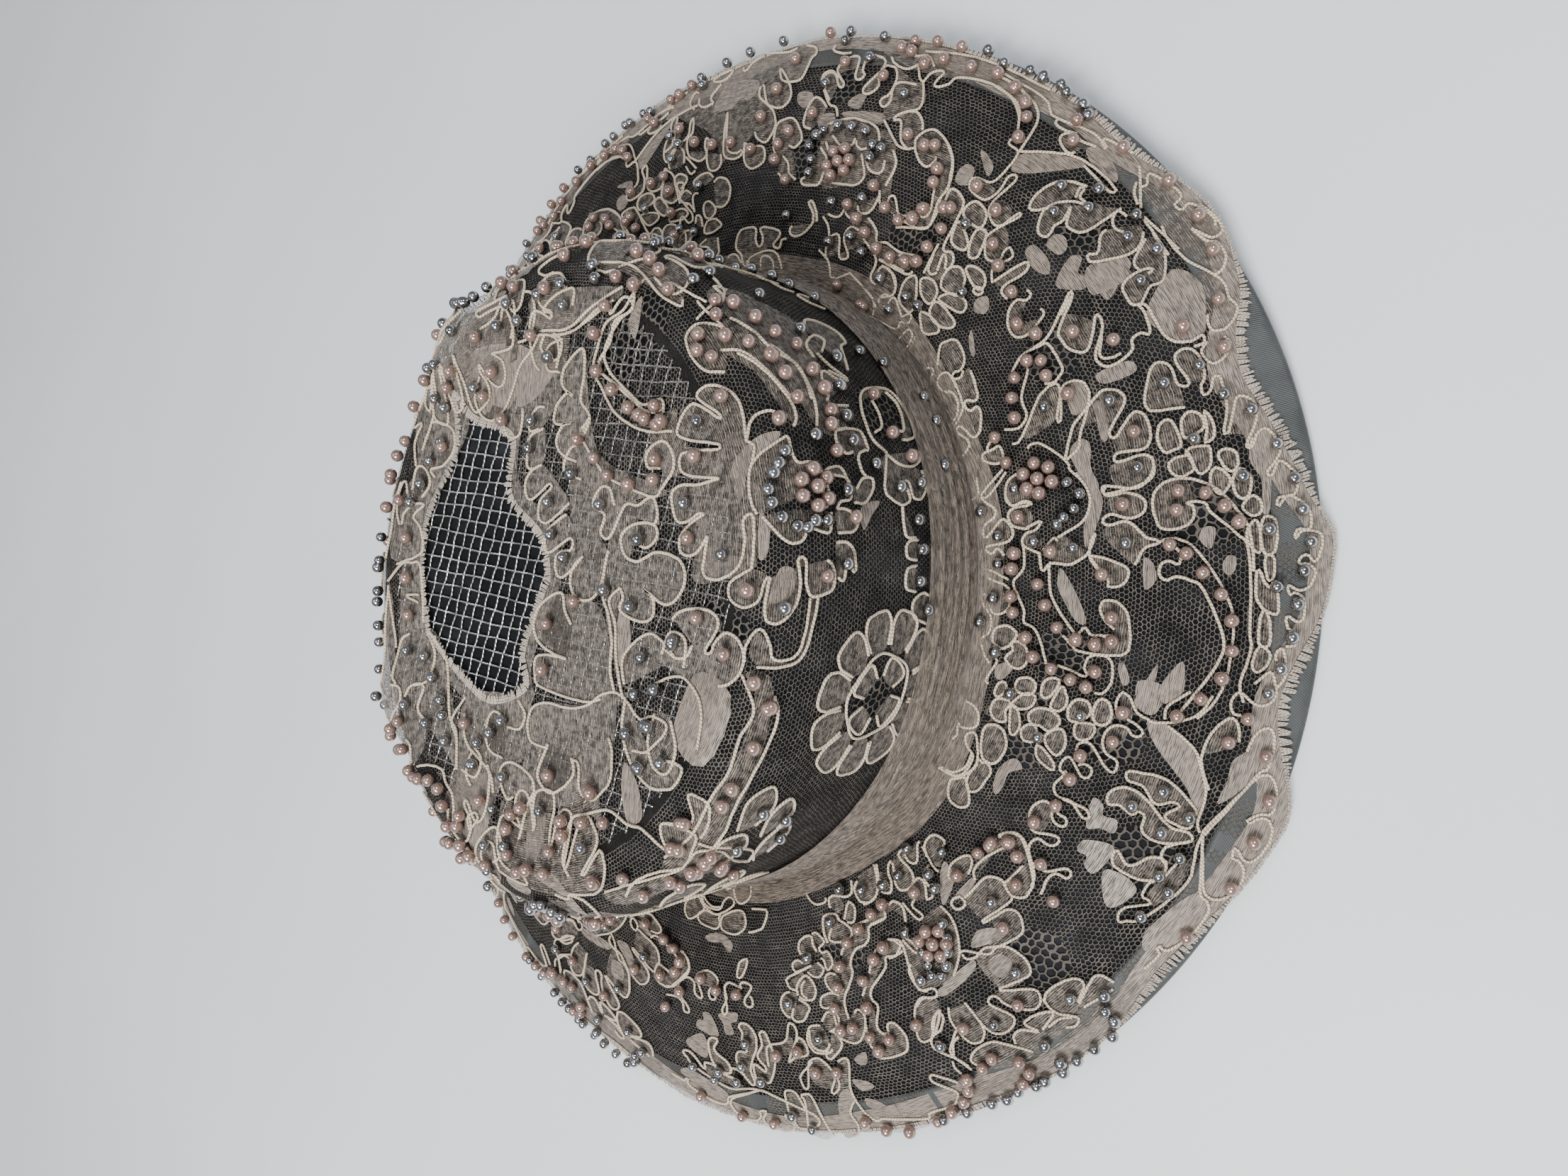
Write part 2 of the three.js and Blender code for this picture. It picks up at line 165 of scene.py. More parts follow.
# meshes from arrays
def buildMesh(name, parts, uvName="lacePage"):
    verts, loops, sizes, uvs, tones, start = [], [], [], [], [], 0
    for part in parts:
        verts.append(part["verts"])
        tones.append(np.full(len(part["verts"]), part.get("tone", 0.5)) if np.isscalar(part.get("tone",
            0.5)) else part["tone"])
        for faces, uv in part["faces"]:
            loops.append(faces.ravel() + start)
            sizes.append(np.full(len(faces), faces.shape[1]))
            uvs.append(uv.reshape(-1, 2))
        start += len(part["verts"])
    verts, loops, sizes, uvs, tones = (np.concatenate(x) for x in (verts, loops, sizes, uvs, tones))
    mesh = bpy.data.meshes.new(name)
    mesh.vertices.add(len(verts))
    mesh.vertices.foreach_set("co", (verts * mm).ravel())
    mesh.loops.add(len(loops))
    mesh.loops.foreach_set("vertex_index", loops)
    mesh.polygons.add(len(sizes))
    mesh.polygons.foreach_set("loop_start", np.cumsum(sizes) - sizes)
    mesh.polygons.foreach_set("use_smooth", np.ones(len(sizes), bool))
    mesh.update(calc_edges=True)
    layer = mesh.uv_layers.new(name=uvName)
    layer.data.foreach_set("uv", uvs.ravel().astype(np.float32))
    attribute = mesh.attributes.new("tone", "FLOAT", "POINT")
    attribute.data.foreach_set("value", tones.astype(np.float32))
    piece = bpy.data.objects.new(name, mesh)
    bpy.context.scene.collection.objects.link(piece)
    return piece


def dress(piece, material, replaces=()):
    piece.data.materials.clear()
    piece.data.materials.append(material)
    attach(piece, "root")
    if replaces:
        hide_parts(*replaces)
    return piece


def gridPart(points, uv, closed, tone=0.5):
    rows, count = points.shape[:2]
    n = count if closed else count - 1
    r, c = np.meshgrid(np.arange(rows - 1), np.arange(n), indexing="ij")
    after = (c + 1) % count
    faces = np.stack([r * count + c, r * count + after, (r + 1) * count + after, (r + 1) * count + c], -1).reshape(-1,
        4)
    corner = np.stack([uv[r, c], uv[r, c + 1], uv[r + 1, c + 1], uv[r + 1, c]], 2).reshape(-1, 4, 2)
    tone = tone if np.isscalar(tone) else tone.reshape(-1)
    return {"verts": points.reshape(-1, 3), "faces": [(faces, corner)], "tone": tone}


def tubePart(points, normals, radius, sides=6, closed=False, flat=1.0, tone=0.5):
    n = len(points)
    along = np.roll(points, -1, 0) - np.roll(points, 1, 0) if closed else np.gradient(points, axis=0)
    along /= np.linalg.norm(along, axis=1, keepdims=True) + 1e-9
    side = np.cross(normals, along)
    side /= np.linalg.norm(side, axis=1, keepdims=True) + 1e-9
    rise = np.cross(along, side)
    turn = np.arange(sides) * 2 * np.pi / sides
    radius = np.broadcast_to(np.asarray(radius, float), (n,))[:, None, None]
    ring = points[:, None] + radius * (np.cos(turn)[None, :, None] * side[:, None] + flat * np.sin(turn)[None, :,
        None] * rise[:, None])
    run = np.concatenate([[0], np.cumsum(np.linalg.norm(np.diff(points, axis=0), axis=1))])
    count = n if closed else n - 1
    i, k = np.meshgrid(np.arange(count), np.arange(sides), indexing="ij")
    nextRow, nextSide = (i + 1) % n, (k + 1) % sides
    faces = np.stack([i * sides + k, i * sides + nextSide, nextRow * sides + nextSide, nextRow * sides + k],
        -1).reshape(-1, 4)
    lengths = np.append(run, run[-1] + (run[-1] / max(n - 1, 1) if closed else 0))
    u0, u1, v0, v1 = lengths[i], lengths[i + 1], k / sides, (k + 1) / sides
    corner = np.stack([u0, v0, u0, v1, u1, v1, u1, v0], -1).reshape(-1, 4, 2)
    verts, groups = ring.reshape(-1, 3), [(faces, corner)]
    if not closed:
        verts = np.vstack([verts, points[0] - along[0] * radius[0, 0, 0] * 0.5,
            points[-1] + along[-1] * radius[-1, 0, 0] * 0.5])
        s, last = np.arange(sides), (n - 1) * sides
        caps = np.vstack([np.stack([np.full(sides, n * sides), (s + 1) % sides, s], -1),
                          np.stack([np.full(sides, n * sides + 1), last + s, last + (s + 1) % sides], -1)])
        groups.append((caps, np.zeros((len(caps), 3, 2))))
    return {"verts": verts, "faces": groups, "tone": tone}


# a smooth line through hand-set points
def curve(points, closed=False, fine=8):
    p = np.asarray(points, float)
    if len(p) < 3:
        t = np.linspace(0, 1, fine * 2)[:, None]
        return p[0] + (p[-1] - p[0]) * t
    ends = [p[-1]] if closed else [2 * p[0] - p[1]]
    tail = [p[0], p[1]] if closed else [2 * p[-1] - p[-2]]
    q = np.vstack([ends, p, tail])
    t = np.linspace(0, 1, fine, endpoint=False)[:, None]
    pieces = []
    for k in range(len(q) - 3):
        a, b, c, d = q[k:k + 4]
        pieces.append(0.5 * (2 * b + (c - a) * t + (2 * a - 5 * b + 4 * c - d) * t ** 2
                             + (3 * b - a - 3 * c + d) * t ** 3))
    if not closed:
        pieces.append(p[-1:])
    return np.vstack(pieces)


def evenly(points, normals, step, closed=False):
    if closed:
        points, normals = np.vstack([points, points[:1]]), np.vstack([normals, normals[:1]])
    run = np.concatenate([[0], np.cumsum(np.linalg.norm(np.diff(points, axis=0), axis=1))])
    count = max(int(round(run[-1] / step)), 3)
    at = np.linspace(0, run[-1], count + 1)
    at = at[:-1] if closed else at
    take = lambda values: np.stack([np.interp(at, run, values[:, k]) for k in range(3)], -1)
    return take(points), take(normals)

# lace work laid on a chart
def cordParts(chart, points, closed=False, radius=0.43, lift=0.6, step=1.02, sides=6, double=False):
    line = curve(points, closed)
    wide = charts[chart]["wide"](float(line[:, 1].mean()))
    lines = [line]
    if double:
        flat = line * [wide, 1]
        along = np.roll(flat, -1, 0) - np.roll(flat, 1, 0) if closed else np.gradient(flat, axis=0)
        side = np.stack([-along[:, 1], along[:, 0]], -1) / (np.linalg.norm(along, axis=1, keepdims=True) + 1e-9)
        gap = radius * 1.05
        lines = [(flat + side * gap) / [wide, 1], (flat - side * gap) / [wide, 1]]
    parts = []
    for one in lines:
        wander = rng.normal(0, 0.06, (len(one), 2)) * [1 / wide, 1]
        here, normal = lay(chart, one[:, 0] + wander[:, 0], one[:, 1] + wander[:, 1], lift + rng.uniform(-0.08, 0.12))
        here, normal = evenly(here, normal, step, closed)
        parts.append(tubePart(here, normal, radius * rng.uniform(0.92, 1.06), sides, closed, tone=rng.uniform(0, 1)))
    return parts


# a patch of cloth inside an outline, cut on the flat page and laid on the hat
def patchPart(chart, outline, lift, cell=2.6, tone=None):
    level = float(outline[:, 1].mean())
    wide = charts[chart]["wide"](level)
    flat = outline * [wide, 1]
    keep = np.linalg.norm(flat - np.roll(flat, 1, 0), axis=1) > 0.3
    flat = flat[keep]
    if len(flat) < 4:
        return None
    low, high = flat.min(0), flat.max(0)
    gx, gy = np.meshgrid(np.arange(low[0] + cell / 2, high[0], cell), np.arange(low[1] + cell / 2, high[1], cell))
    inner = np.stack([gx.ravel(), gy.ravel()], -1)
    inner = inner[insideOf(flat, inner)] if len(inner) else inner
    verts = [Vector(v) for v in np.vstack([flat, inner])]
    edges = [(k, (k + 1) % len(flat)) for k in range(len(flat))]
    out, _, faces, _, _, _ = delaunay_2d_cdt(verts, edges, [], 1, 0.01)
    if not faces:
        return None
    spots = np.array([tuple(v) for v in out])
    faces = np.array([f for f in faces if len(f) == 3])
    x, y = spots[:, 0], spots[:, 1]
    cross = (x[faces[:, 1]] - x[faces[:, 0]]) * (y[faces[:, 2]] - y[faces[:, 0]]) - (y[faces[:, 1]] - y[faces[:,
        0]]) * (x[faces[:, 2]] - x[faces[:, 0]])
    faces = np.where((cross < 0)[:, None], faces[:, ::-1], faces)
    if charts[chart]["flip"] < 0:
        faces = faces[:, ::-1]
    here, _ = lay(chart, spots[:, 0] / wide, spots[:, 1], lift)
    return {"verts": here, "faces": [(faces, spots[faces])], "tone": rng.uniform(0, 1) if tone is None else tone}


def insideOf(polygon, spots):
    x, y = spots[:, 0], spots[:, 1]
    inside = np.zeros(len(spots), bool)
    for (x0, y0), (x1, y1) in zip(polygon, np.roll(polygon, -1, 0)):
        crosses = (y0 > y) != (y1 > y)
        inside ^= crosses & (x < (x1 - x0) * (y - y0) / (y1 - y0 + 1e-12) + x0)
    return inside


work = {"cord": [], "toile": [], "satin": [], "pearl": [], "silver": [], "thread": []}


# the lace as charted: each line starts at a place and goes on in steps, in fifths of a degree round the hat
# (fifths of a mm on the tip) and 0.4 mm out or up; beads go from one to the next in the same way
brimCharted = {
    "cord": [
    [1026,63,-1,-8,2,-9,3,-4,11,2,1,5], [1038,38,0,-5,2,-3,6,0,11,5,6,-2,4,-8],
    [1047,50,8,-10,3,0,2,5,-3,7,-4,3,-4,-2], [1042,49,7,8,0,6,-5,2,-9,0,-5,-2,-2,-3,5,-7],
    [999,67,-1,-4,2,-6,6,-3,5,0,2,2,-1,5,2,6], [1014,53,4,0,5,8,-6,4,1,4,5,0,2,5,-1,6,-4,3,-2,-1,0,-7,-2,-2],
    [1001,82,4,4,5,1,5,-4,0,-3,-3,-4], [999,74,-4,-3,-5,2,-1,4,3,3,14,-3], [1006,77,-23,7,-1,5,1,4,6,2],
    [988,99,1,-7,3,-4,6,-4,4,3,2,7,-2,7,-4,3,-6,-1,-3,-3], [995,102,-3,-3,1,-7,4,-4],
    [982,96,-5,1,-4,5,-1,7,3,7,3,0], [988,102,7,7,-3,5,-5,6,-6,0,-2,-4,3,-7],
    [998,125,-7,0,-4,5,-2,9,2,7,4,2,7,0,3,-3], [989,128,-2,9,2,7,6,2,5,-4,0,-2], [1001,122,5,-6,5,0,3,4,-2,7,-8,4],
    [1006,131,3,5,-1,8,-10,9,-3,-1,0,-3,3,-5], [1024,88,-5,-2,-4,2,-1,5,2,6,5,3,5,-2],
    [1021,104,-6,-3,-7,1,-3,4,0,5,5,1,4,-3], [1034,75,3,-4,6,-2], [1050,61,4,-3,21,0],
    [1081,63,-15,0,-4,7,-6,4,-7,0,-5,3,-5,6,-2,9,-13,16,-3,15], [1012,116,-2,15,0,6,5,5,6,1,6,-6,4,-7,2,-7,-3,-5,-3,
    2], [1081,91,-8,0,-6,-2,-4,7,-16,10,-4,8,2,6,-7,14,1,7,4,1,1,-5,3,-2,3,2,2,10,-2,8,-5,5,-15,-1,-2,-8,0,-9,3,-11],
    [1038,109,6,-7], [1050,95,6,-9,7,-5], [1075,78,4,3,2,5], [1081,102,-4,4,-1,10,2,7,3,2],
    [1072,28,-5,3,-1,7,2,6,7,3,6,-1], [1081,131,-6,-4,-6,3,-4,6,-6,15,1,6,6,-1,9,-12,3,-2,2,3,-3,5,-4,4,-5,1,-4,4,0,7,
    7,12,3,11], [1071,174,4,-8,5,-2], [1068,178,-1,5,1,6], [1063,194,-9,-11,-3,0,0,5,8,12,-1,4,-5,5,-14,1,-4,4,-23,-6,
    -5,1,-5,-11,-1,-18,7,-23,-3,-3,-4,2], [950,161,1,-11,3,-8,14,-5,6,-14,3,-1,2,3,-1,8,-11,20,0,2,5,-4,9,-2,2,-5,-1,
    -8,-3,-2,-2,3], [983,155,-11,11,-2,7,1,6,3,-3,6,-20,7,-4,4,3,3,7,0,8,-6,11,2,2,5,-7,1,-10],
    [953,211,2,-25,4,-4,4,2,2,10,0,6], [962,220,5,-28,-1,-6,4,-2,3,3,2,24,2,11], [989,222,4,-3,2,-8,-1,-11,6,-10],
    [950,47,13,-3,5,-6,3,-7,-2,-3,-15,-1], [1017,22,3,6,6,4,8,0,2,-3], [1069,46,6,1,8,-2,6,-7,5,-14],
    [1096,25,-7,18,3,5,4,1,4,-5,2,-8,4,-5,4,-1], [1110,32,-7,14,1,6,6,3,7,-2,3,-7,-2,-14,3,-3,4,0],
    [1124,33,-1,6,4,5,5,-3,5,-6,4,-1], [1140,38,-3,17,1,5], [1138,46,4,-7,7,-2,5,2,3,6,-1,4,-5,0],
    [1069,63,12,0,2,-5], [1089,56,5,0,4,7,-4,11], [1100,61,3,16,4,1,1,-2,-3,-9,5,-3],
    [1115,55,5,-2,3,2,0,6,-4,6,-1,3,4,1,3,-3], [1125,66,0,-8,4,-5,6,-1], [1069,91,6,0,8,-7,-8,-6],
    [1083,84,-1,8,-3,10,-2,11,0,9,8,3,0,5,-3,1,-7,-3,-6,3], [1085,84,3,12,3,3], [1088,84,2,4,1,7],
    [1093,94,3,-3,6,1], [1123,80,1,9,-2,10,-8,14,-13,12], [1114,114,4,2,9,11,6,0,14,4,5,-1,5,-7,0,-7,-5,-4,-13,-3,1,
    -2,20,4,3,-3], [1114,116,0,4,5,3,8,-1,5,3,6,6,2,8,0,9,-5,7,-17,-5,1,3,12,11,-1,8,-6,3,-6,-6,-4,-8,-1,-8,-3,-2,-3,
    4,5,14,-2,6,-6,2,-5,-2,-3,-8,0,-22], [1130,88,0,-4,3,-2,5,2,0,6,-5,1,-3,-3], [1140,87,18,0,5,3,3,7,-1,5],
    [1165,100,-2,9,4,7,5,0,7,-3,15,-21,1,-8,-5,-6,-4,-1], [1154,83,4,-5,11,0,14,6],
    [1141,70,1,-3,7,-4,9,2,5,4,-3,5,-7,3], [1166,100,16,2], [1131,173,-1,7,1,7,4,7,1,4,-4,2,-4,-3],
    [1130,175,5,-4,8,1,7,4,1,7,-9,6], [1142,190,14,-6,4,3,1,8], [1142,194,16,4],
    [1079,189,-2,-6,5,-5,7,-1,7,3,11,18], [1103,187,2,-5,5,-1,7,8,-3,-10,6,-1,7,3,2,4,-10,4], [1122,190,7,0,5,4],
    [1086,142,-4,9,0,13,2,8,5,2,5,-5,2,-8], [1069,155,11,-13,-1,-1,-6,4,-4,6], [1081,159,-7,7,-4,7,4,13],
    [1198,11,2,10,4,7,9,3,10,-1,3,-6,5,-5,5,0,3,4,-3,4,-16,8,-9,-2,-8,-4,-3,-7,-2,-11], [1200,12,2,9,5,5,7,3,10,-1],
    [1241,7,-3,5,3,8,5,3,7,-2,5,-5,1,-8], [1226,10,5,2,6,-3], [1187,76,5,4,3,6,-1,8,-12,17,-7,4],
    [1175,123,10,-3,5,3,1,7,4,0,0,-5,-7,-8,-2,-9,4,-8,6,-3,5,3,0,8,4,4,3,-3,-5,-15,3,-5,7,-4,7,2,3,5,-2,5,-5,3,-2,6,2,
    4,4,-2,0,-6,4,-5], [1227,121,-2,-4,5,-11,-1,-10,5,-5,11,4,-2,-3,3,-3,6,1,1,4,-7,10,1,5,5,0,1,-6,-2,-3],
    [1258,95,5,0,2,7,-9,14,-1,6,4,1,3,-3,1,-6,5,-5,7,0,5,5,0,7,-3,4,1,5,4,-1,5,-16,5,-3,6,2,-2,6,-6,5,-2,7,-1,7,5,16,
    6,8,8,4], [1227,121,3,-5,-1,-16], [1290,141,7,0,9,11], [1189,175,5,7,18,8,10,2,13,-5,8,-1],
    [1189,175,-2,-3,3,-3,5,1,7,10,2,-1,0,-5,7,-1,5,5,11,3], [1223,176,2,-5,6,0,7,11],
    [1243,184,5,-4,13,-2,12,-9,7,-7,7,-18], [1263,179,7,-7,8,-4,9,1,7,4,4,6,-4,5,-6,2],
    [1175,203,9,1,2,-3,2,0,-1,3,3,4,12,4,10,0,4,-4,3,-7,24,-15], [1235,191,-11,8,-5,5,-1,6,3,6,6,3,7,-1,4,-6,0,-4,4,
    -2,0,3,-3,5,1,5,6,3,8,0,5,-5,-1,-6,-3,-3,1,-2,4,5,2,6,8,-1,6,-5,1,-5,-5,-6,-24,-13,-5,-1],
    [1243,187,32,14,5,5,9,0,7,-3,1,-4,-4,-5,-8,-2], [1279,21,2,-3,15,5,3,-1],
    [1294,18,5,-5,9,-5,4,0,5,5,8,1,6,-2,6,-5,7,-3,3,2,-4,4,-8,2,-3,5,2,5,5,4,14,-2,6,-14,6,-4,2,2,-8,16],
    [1377,21,6,-5,-4,-4,2,-4,4,0,2,15,4,5,6,0,6,-4,1,-4,-12,-12,5,-2,6,2,4,7,6,2,9,-8,3,1],
    [1384,35,-8,1,-10,-1,-10,-7,-18,9,-9,1,-5,10,-20,11], [1305,67,-3,20,5,-2,6,1,3,6,-1,8,-5,3,-8,1,-7,-4,-1,-5],
    [1324,67,-5,7,-3,7,2,25,6,5,12,-2,6,-2,5,-6,1,-7,-1,-3,-5,-1,-6,4,-4,6], [1378,47,-13,2,5,6,-1,12,2,7,5,7,10,5],
    [1371,55,-6,-1,-18,3,-20,17,-1,3,5,4,-4,5,1,13], [1366,88,8,-6,8,1,5,3], [1387,61,7,16,7,6,10,2,14,-6],
    [1397,41,-2,-2,2,-8,4,-4,6,-1,4,4,0,10,1,3,2,-4,-1,-8,3,-3,6,-2,3,1],
    [1377,47,6,-11,5,-1,4,4,1,6,4,4,2,0,-3,-10], [1379,50,8,8,-3,2],
    [1368,111,9,6,2,8,2,0,2,-7,9,-10,-1,-12,2,-4,3,1,1,6,-3,8,1,9,5,4,5,-3,3,-9,0,-11,3,-3,3,2,-4,17,2,9,5,6,8,0],
    [1294,148,29,17,12,0,21,-13,4,-7,2,-9,-2,-6,3,-4,5,1,2,5,-2,5,4,2,4,-2,2,-5],
    [1294,159,8,7,10,4,11,1,21,-1,16,-9,16,-14,5,-10,0,-7,-2,-5], [1397,148,-5,0,-4,-4,-2,-8,1,-8,5,-3,8,-1,7,3,4,8,0,
    11,-3,9,-6,10,-14,12,-10,3,-13,1], [1397,148,2,-4,-1,11,-5,3,-11,14,-8,6,-34,2,-10,2,-16,-3,-8,4],
    [1300,183,0,-4,4,-3,5,2,1,3,-3,6,-1,7,5,6,8,-3,2,-3,-6,-7], [1315,200,5,3,7,-1,5,-3,-3,-3,-3,1],
    [1333,201,1,5,4,0,3,-5,5,-1,-2,5,1,4,8,0,3,-5,-1,-3,4,-1,-2,6,2,6,6,3,3,-4,0,-5,3,1,1,4,-3,4,7,4,5,-1,1,-10,-3,-3,
    1,-1,3,2,0,7,8,0,6,-8,0,-4,-4,-5,4,1,1,9,7,3,5,-4,3,-5,-6,-5,2,-2,8,9,8,-2], [1425,188,-5,-3,5,0],
    [1424,8,5,2,13,18], [1424,10,2,5,13,15], [1425,0,4,6,13,1], [1411,44,2,0,2,-5,-2,-7,2,-4,5,-2,12,4,4,12],
    [1450,50,2,4,-3,7,-15,13,-6,1,-6,5], [1435,73,17,10,6,8,9,17,0,6,-3,6,-4,2,-4,-2,-10,-12,-4,-2,-2,3,10,14,-1,6,-4,
    2,-7,0,-6,-3,-2,-5,1,-15,-3,-3,-2,3,1,15,-3,5,-5,0,-6,-5,-2,-6,-2,-21,3,-1,2,2],
    [1435,75,5,9,8,4,17,12,8,2,5,-3,2,-8,-3,-6,-15,-9,-2,2,20,7,3,-4,-1,-6,-5,-9,-19,-19,-1,-7],
    [1469,38,-3,9,2,6,5,4,12,1,15,13], [1500,55,6,8,4,9,-1,14,-2,5,-17,1,-5,-6,-1,-5,2,-4], [1459,21,3,0,5,5],
    [1489,0,10,13,8,3,18,2], [1493,-1,4,7,8,6,10,1,6,-3], [1463,-1,4,7,6,3,12,-6,4,2,-2,3,-12,5,1,6,9,5,7,2,4,-2,-1,
    -4,3,-3,6,0,0,4,-3,3,2,5,20,4], [1510,81,2,13,15,26,-3,0,-12,-18,-7,-2,-7,2,-5,6,1,6,14,13,-2,2,-6,-2,-11,-11,-5,
    -1,-5,5,1,11,3,7,5,3,1,6,-2,5,11,3,4,-1,-1,4,-16,1,-6,4,-3,9,1,8,-4,-1,0,-6], [1483,130,0,-7,4,-5,13,9],
    [1446,155,2,-18,3,-4,6,1,13,10,1,7,-4,4,-8,0,-3,3,1,4,12,-3,4,3,0,7,-5,4,-10,-1,-4,-4,-5,0,2,5,5,3,0,4,-5,0,-9,-1,
    -12,-6,0,3,11,7,4,4,-4,7,-8,-1,-11,-9,-1,3,6,5,1,5,-3,3], [1462,180,3,-4,5,0,3,5], [1462,180,2,7,5,6,4,-2],
    [1476,194,1,-7,4,-1,4,2], [1476,194,3,7,5,5,5,-2,9,1,14,-11,11,-3,10,2], [1501,203,1,6,5,6,7,0,3,-5,8,-3],
    [1525,207,-8,7,1,8,7,1,8,-3], [1503,155,1,-4,4,-1,7,1,3,7,0,11,-2,4,-1,-4], [1503,156,6,10,0,9,12,10,11,1],
    [1518,166,6,0,7,14], [1519,17,14,0,4,-4,-1,-5,-5,-3,-6,1,-6,4],
    [1527,28,-3,-4,1,-4,4,-2,2,4,-2,4,3,6,9,4,10,0,4,-5,2,-7,-11,-11], [1536,0,5,3,3,5,5,-1,3,-5],
    [1601,13,-7,3,1,5,4,1,4,-6], [1600,60,3,-4,5,2,3,11], [1601,61,4,12,-4,-1,-4,-6,-3,3,2,6,5,3,7,-1,7,31,5,6,7,2,3,
    -2,-2,-9], [1609,53,4,24], [1650,42,-24,1,-7,3,-1,3], [1622,60,15,-5,13,1],
    [1650,142,-9,-9,-5,-10,-4,-9,0,-9,-3,-6,-2,-13,3,-6,20,-10], [1646,80,-1,4,-4,4,-5,-2,-3,6,7,17],
    [1525,120,-6,-12], [1529,99,-4,0,-4,-11,-1,-8,3,-6,6,-1,6,2,6,6,2,8,-4,5,1,5,4,0],
    [1548,84,6,0,2,5,-2,13,1,7,4,0,4,-24], [1563,83,6,5,3,7,-4,5,-1,6,6,3,0,-6,-2,-4,2,-5,6,-2,5,4,5,9,-6,23,2,2,2,
    -14,5,-3,7,4,3,8,-1,19,2,5,3,-4,-2,-12,2,-10,5,-2,8,1,4,6,-3,4,-8,2,-2,8,2,20,8,2,1,7], [1622,176,8,14,9,5,11,2],
    [1612,164,7,28,18,11,13,2], [1551,180,0,-22,2,-8,5,-3,4,1,6,10,-4,-11,1,-6,-2,-5,0,-5,5,-1,5,6,3,8,-2,9,-5,8,-6,5,
    6,0,2,6,2,-2,-3,-6], [1574,148,4,-7,4,-4,3,5,1,9,-2,11,-6,8,-7,4],
    [1546,164,-1,-5,-7,-8,2,-5,-1,-2,-4,1,-6,19,1,11,5,7], [1540,172,4,-3,5,3,2,6,-5,2],
    [1560,186,11,1,19,-4,23,-20], [1560,185,3,-3,18,1], [1519,186,21,1], [1519,193,22,-5], [1546,190,18,18],
    [1548,190,6,3,4,6], [1585,198,7,-3,7,0,3,-5,-3,-5,-7,-2,-2,3], [1597,197,6,-3,6,0,1,4,-4,1],
    [1521,220,4,2,7,-3,4,-4,-1,-6,4,-1,1,6,5,1,12,-5,0,-4,-3,-3,1,-5], [1571,211,15,-5,-5,-4],
    [1581,201,10,3,20,-6,6,2,6,5,27,3], [1630,0,2,7,7,6,11,3], [1601,13,-1,-6,8,-3,21,-3],
    [1603,16,16,8,3,-3,0,-5,4,-4,5,1,1,4,-9,7,1,7,6,6,9,2,7,-1,0,-7], [1577,0,1,7,3,6], [1580,0,1,8,4,5,6,-1,1,-12],
    [1688,14,4,-1,7,11,14,7], [1625,32,11,7,10,0], [1643,24,5,0,4,4,0,8,3,6,14,7], [1706,44,4,8,7,6],
    [1625,45,26,-3], [1625,56,11,-3], [1646,55,6,1,8,-3,5,8,11,6], [1689,62,5,1,4,3], [1700,67,1,-4,4,-3,8,1],
    [1657,77,-21,0,-5,2,-4,5,5,18,0,11,4,12,7,11,8,7,10,5,6,-1,4,-8,-1,-6,-6,-8,-6,-4,-5,0,-2,6,1,3],
    [1638,88,7,-2,2,-5,7,-1,9,10,4,-2,-1,-5], [1667,81,5,0,5,9], [1674,95,0,13,2,8,6,7],
    [1669,130,4,-3,6,0,5,3,15,14], [1689,154,-8,8,7,18,4,4,6,11], [1689,182,-1,8,-3,4,-4,0,1,-11,-3,-2,-5,5,-2,7,-14,
    4,-11,0,-11,-4,-11,-10], [1698,197,4,-6,6,0,6,4,3,4], [1689,197,7,8,7,-2,5,1], [1625,212,45,1,29,-5],
    [1701,119,4,-2,5,3,1,3], [1723,116,1,-7,5,2,5,8], [1695,127,3,6,5,5,11,3,11,0,16,-8], [1733,142,4,8,6,3,8,13],
    [1761,10,1,6,6,5,8,0,1,-7,-1,-4], [1800,17,6,8,7,1,3,-2], [1866,38,-4,9,-2,11,4,9,-1,7,-3,0,-4,-7,-5,0,0,7,7,12,
    -5,-2,-5,-9], [1848,74,1,12,-2,5,-4,-1], [1865,108,2,12,8,11], [1846,114,4,-2,5,10], [1845,115,10,17],
    [1751,86,7,5,3,9,6,7], [1763,87,5,5], [1823,162,-5,-37,-8,-8,-5,2], [1786,153,12,14,3,8,0,5],
    [1744,202,6,0,7,4,0,5], [1783,214,7,-2,16,6], [1808,215,6,-4,2,-6,3,1,0,3], [1837,180,7,0,5,6,1,8],
    [1837,180,3,9,-6,11], [1852,183,4,6,1,8,-3,7,-3,-3],
    ],
    "lobe": [
    [1632,0,-1,5,4,6,35,10,4,0,12,-8], [1625,12,6,0,2,5,-4,5,-4,0],
    [1669,49,12,7,7,0,3,-5,-1,-7,-9,-10,3,-4,6,1,6,15,6,0,4,-5,-1,-10,-2,-5],
    [1692,179,11,-1,2,-6,-3,-11,2,-6,4,3,0,4,-3,5,1,13,4,9,4,2,4,-1,0,-10,-3,-7,2,-7,4,-2,3,5,-5,17,0,8,3,4],
    [1722,198,7,2,3,-3,-1,-11,-3,-5,2,-5,4,4,3,17,6,1,5,-8,-1,-7,-8,-11,2,-3,9,15,6,-1,0,-7],
    [1718,86,-19,2,-5,6,1,6,8,13], [1713,125,0,-6,7,-3,11,9], [1743,88,3,-2,-3,-4,-9,0,-5,2,-1,11,1,10,8,9],
    [1684,113,-2,-8,3,-3,7,1,6,7], [1722,53,3,8,6,8,3,-2,-6,-7,-2,-8,5,-8,8,-5,7,1,2,4,-2,3],
    [1671,145,3,6,7,6,7,-2,5,-6,-1,-3,-4,1,-7,-14,-8,-6], [1675,86,1,-12,5,-5,5,0,3,4],
    [1751,11,4,8,5,5,11,2,18,-5,3,-5,0,-6], [1793,19,1,-5,4,2,2,8,6,7,-2,10,-5,5,-9,1,-6,-2,0,-9,-3,-6,-4,1,-1,7,3,5,
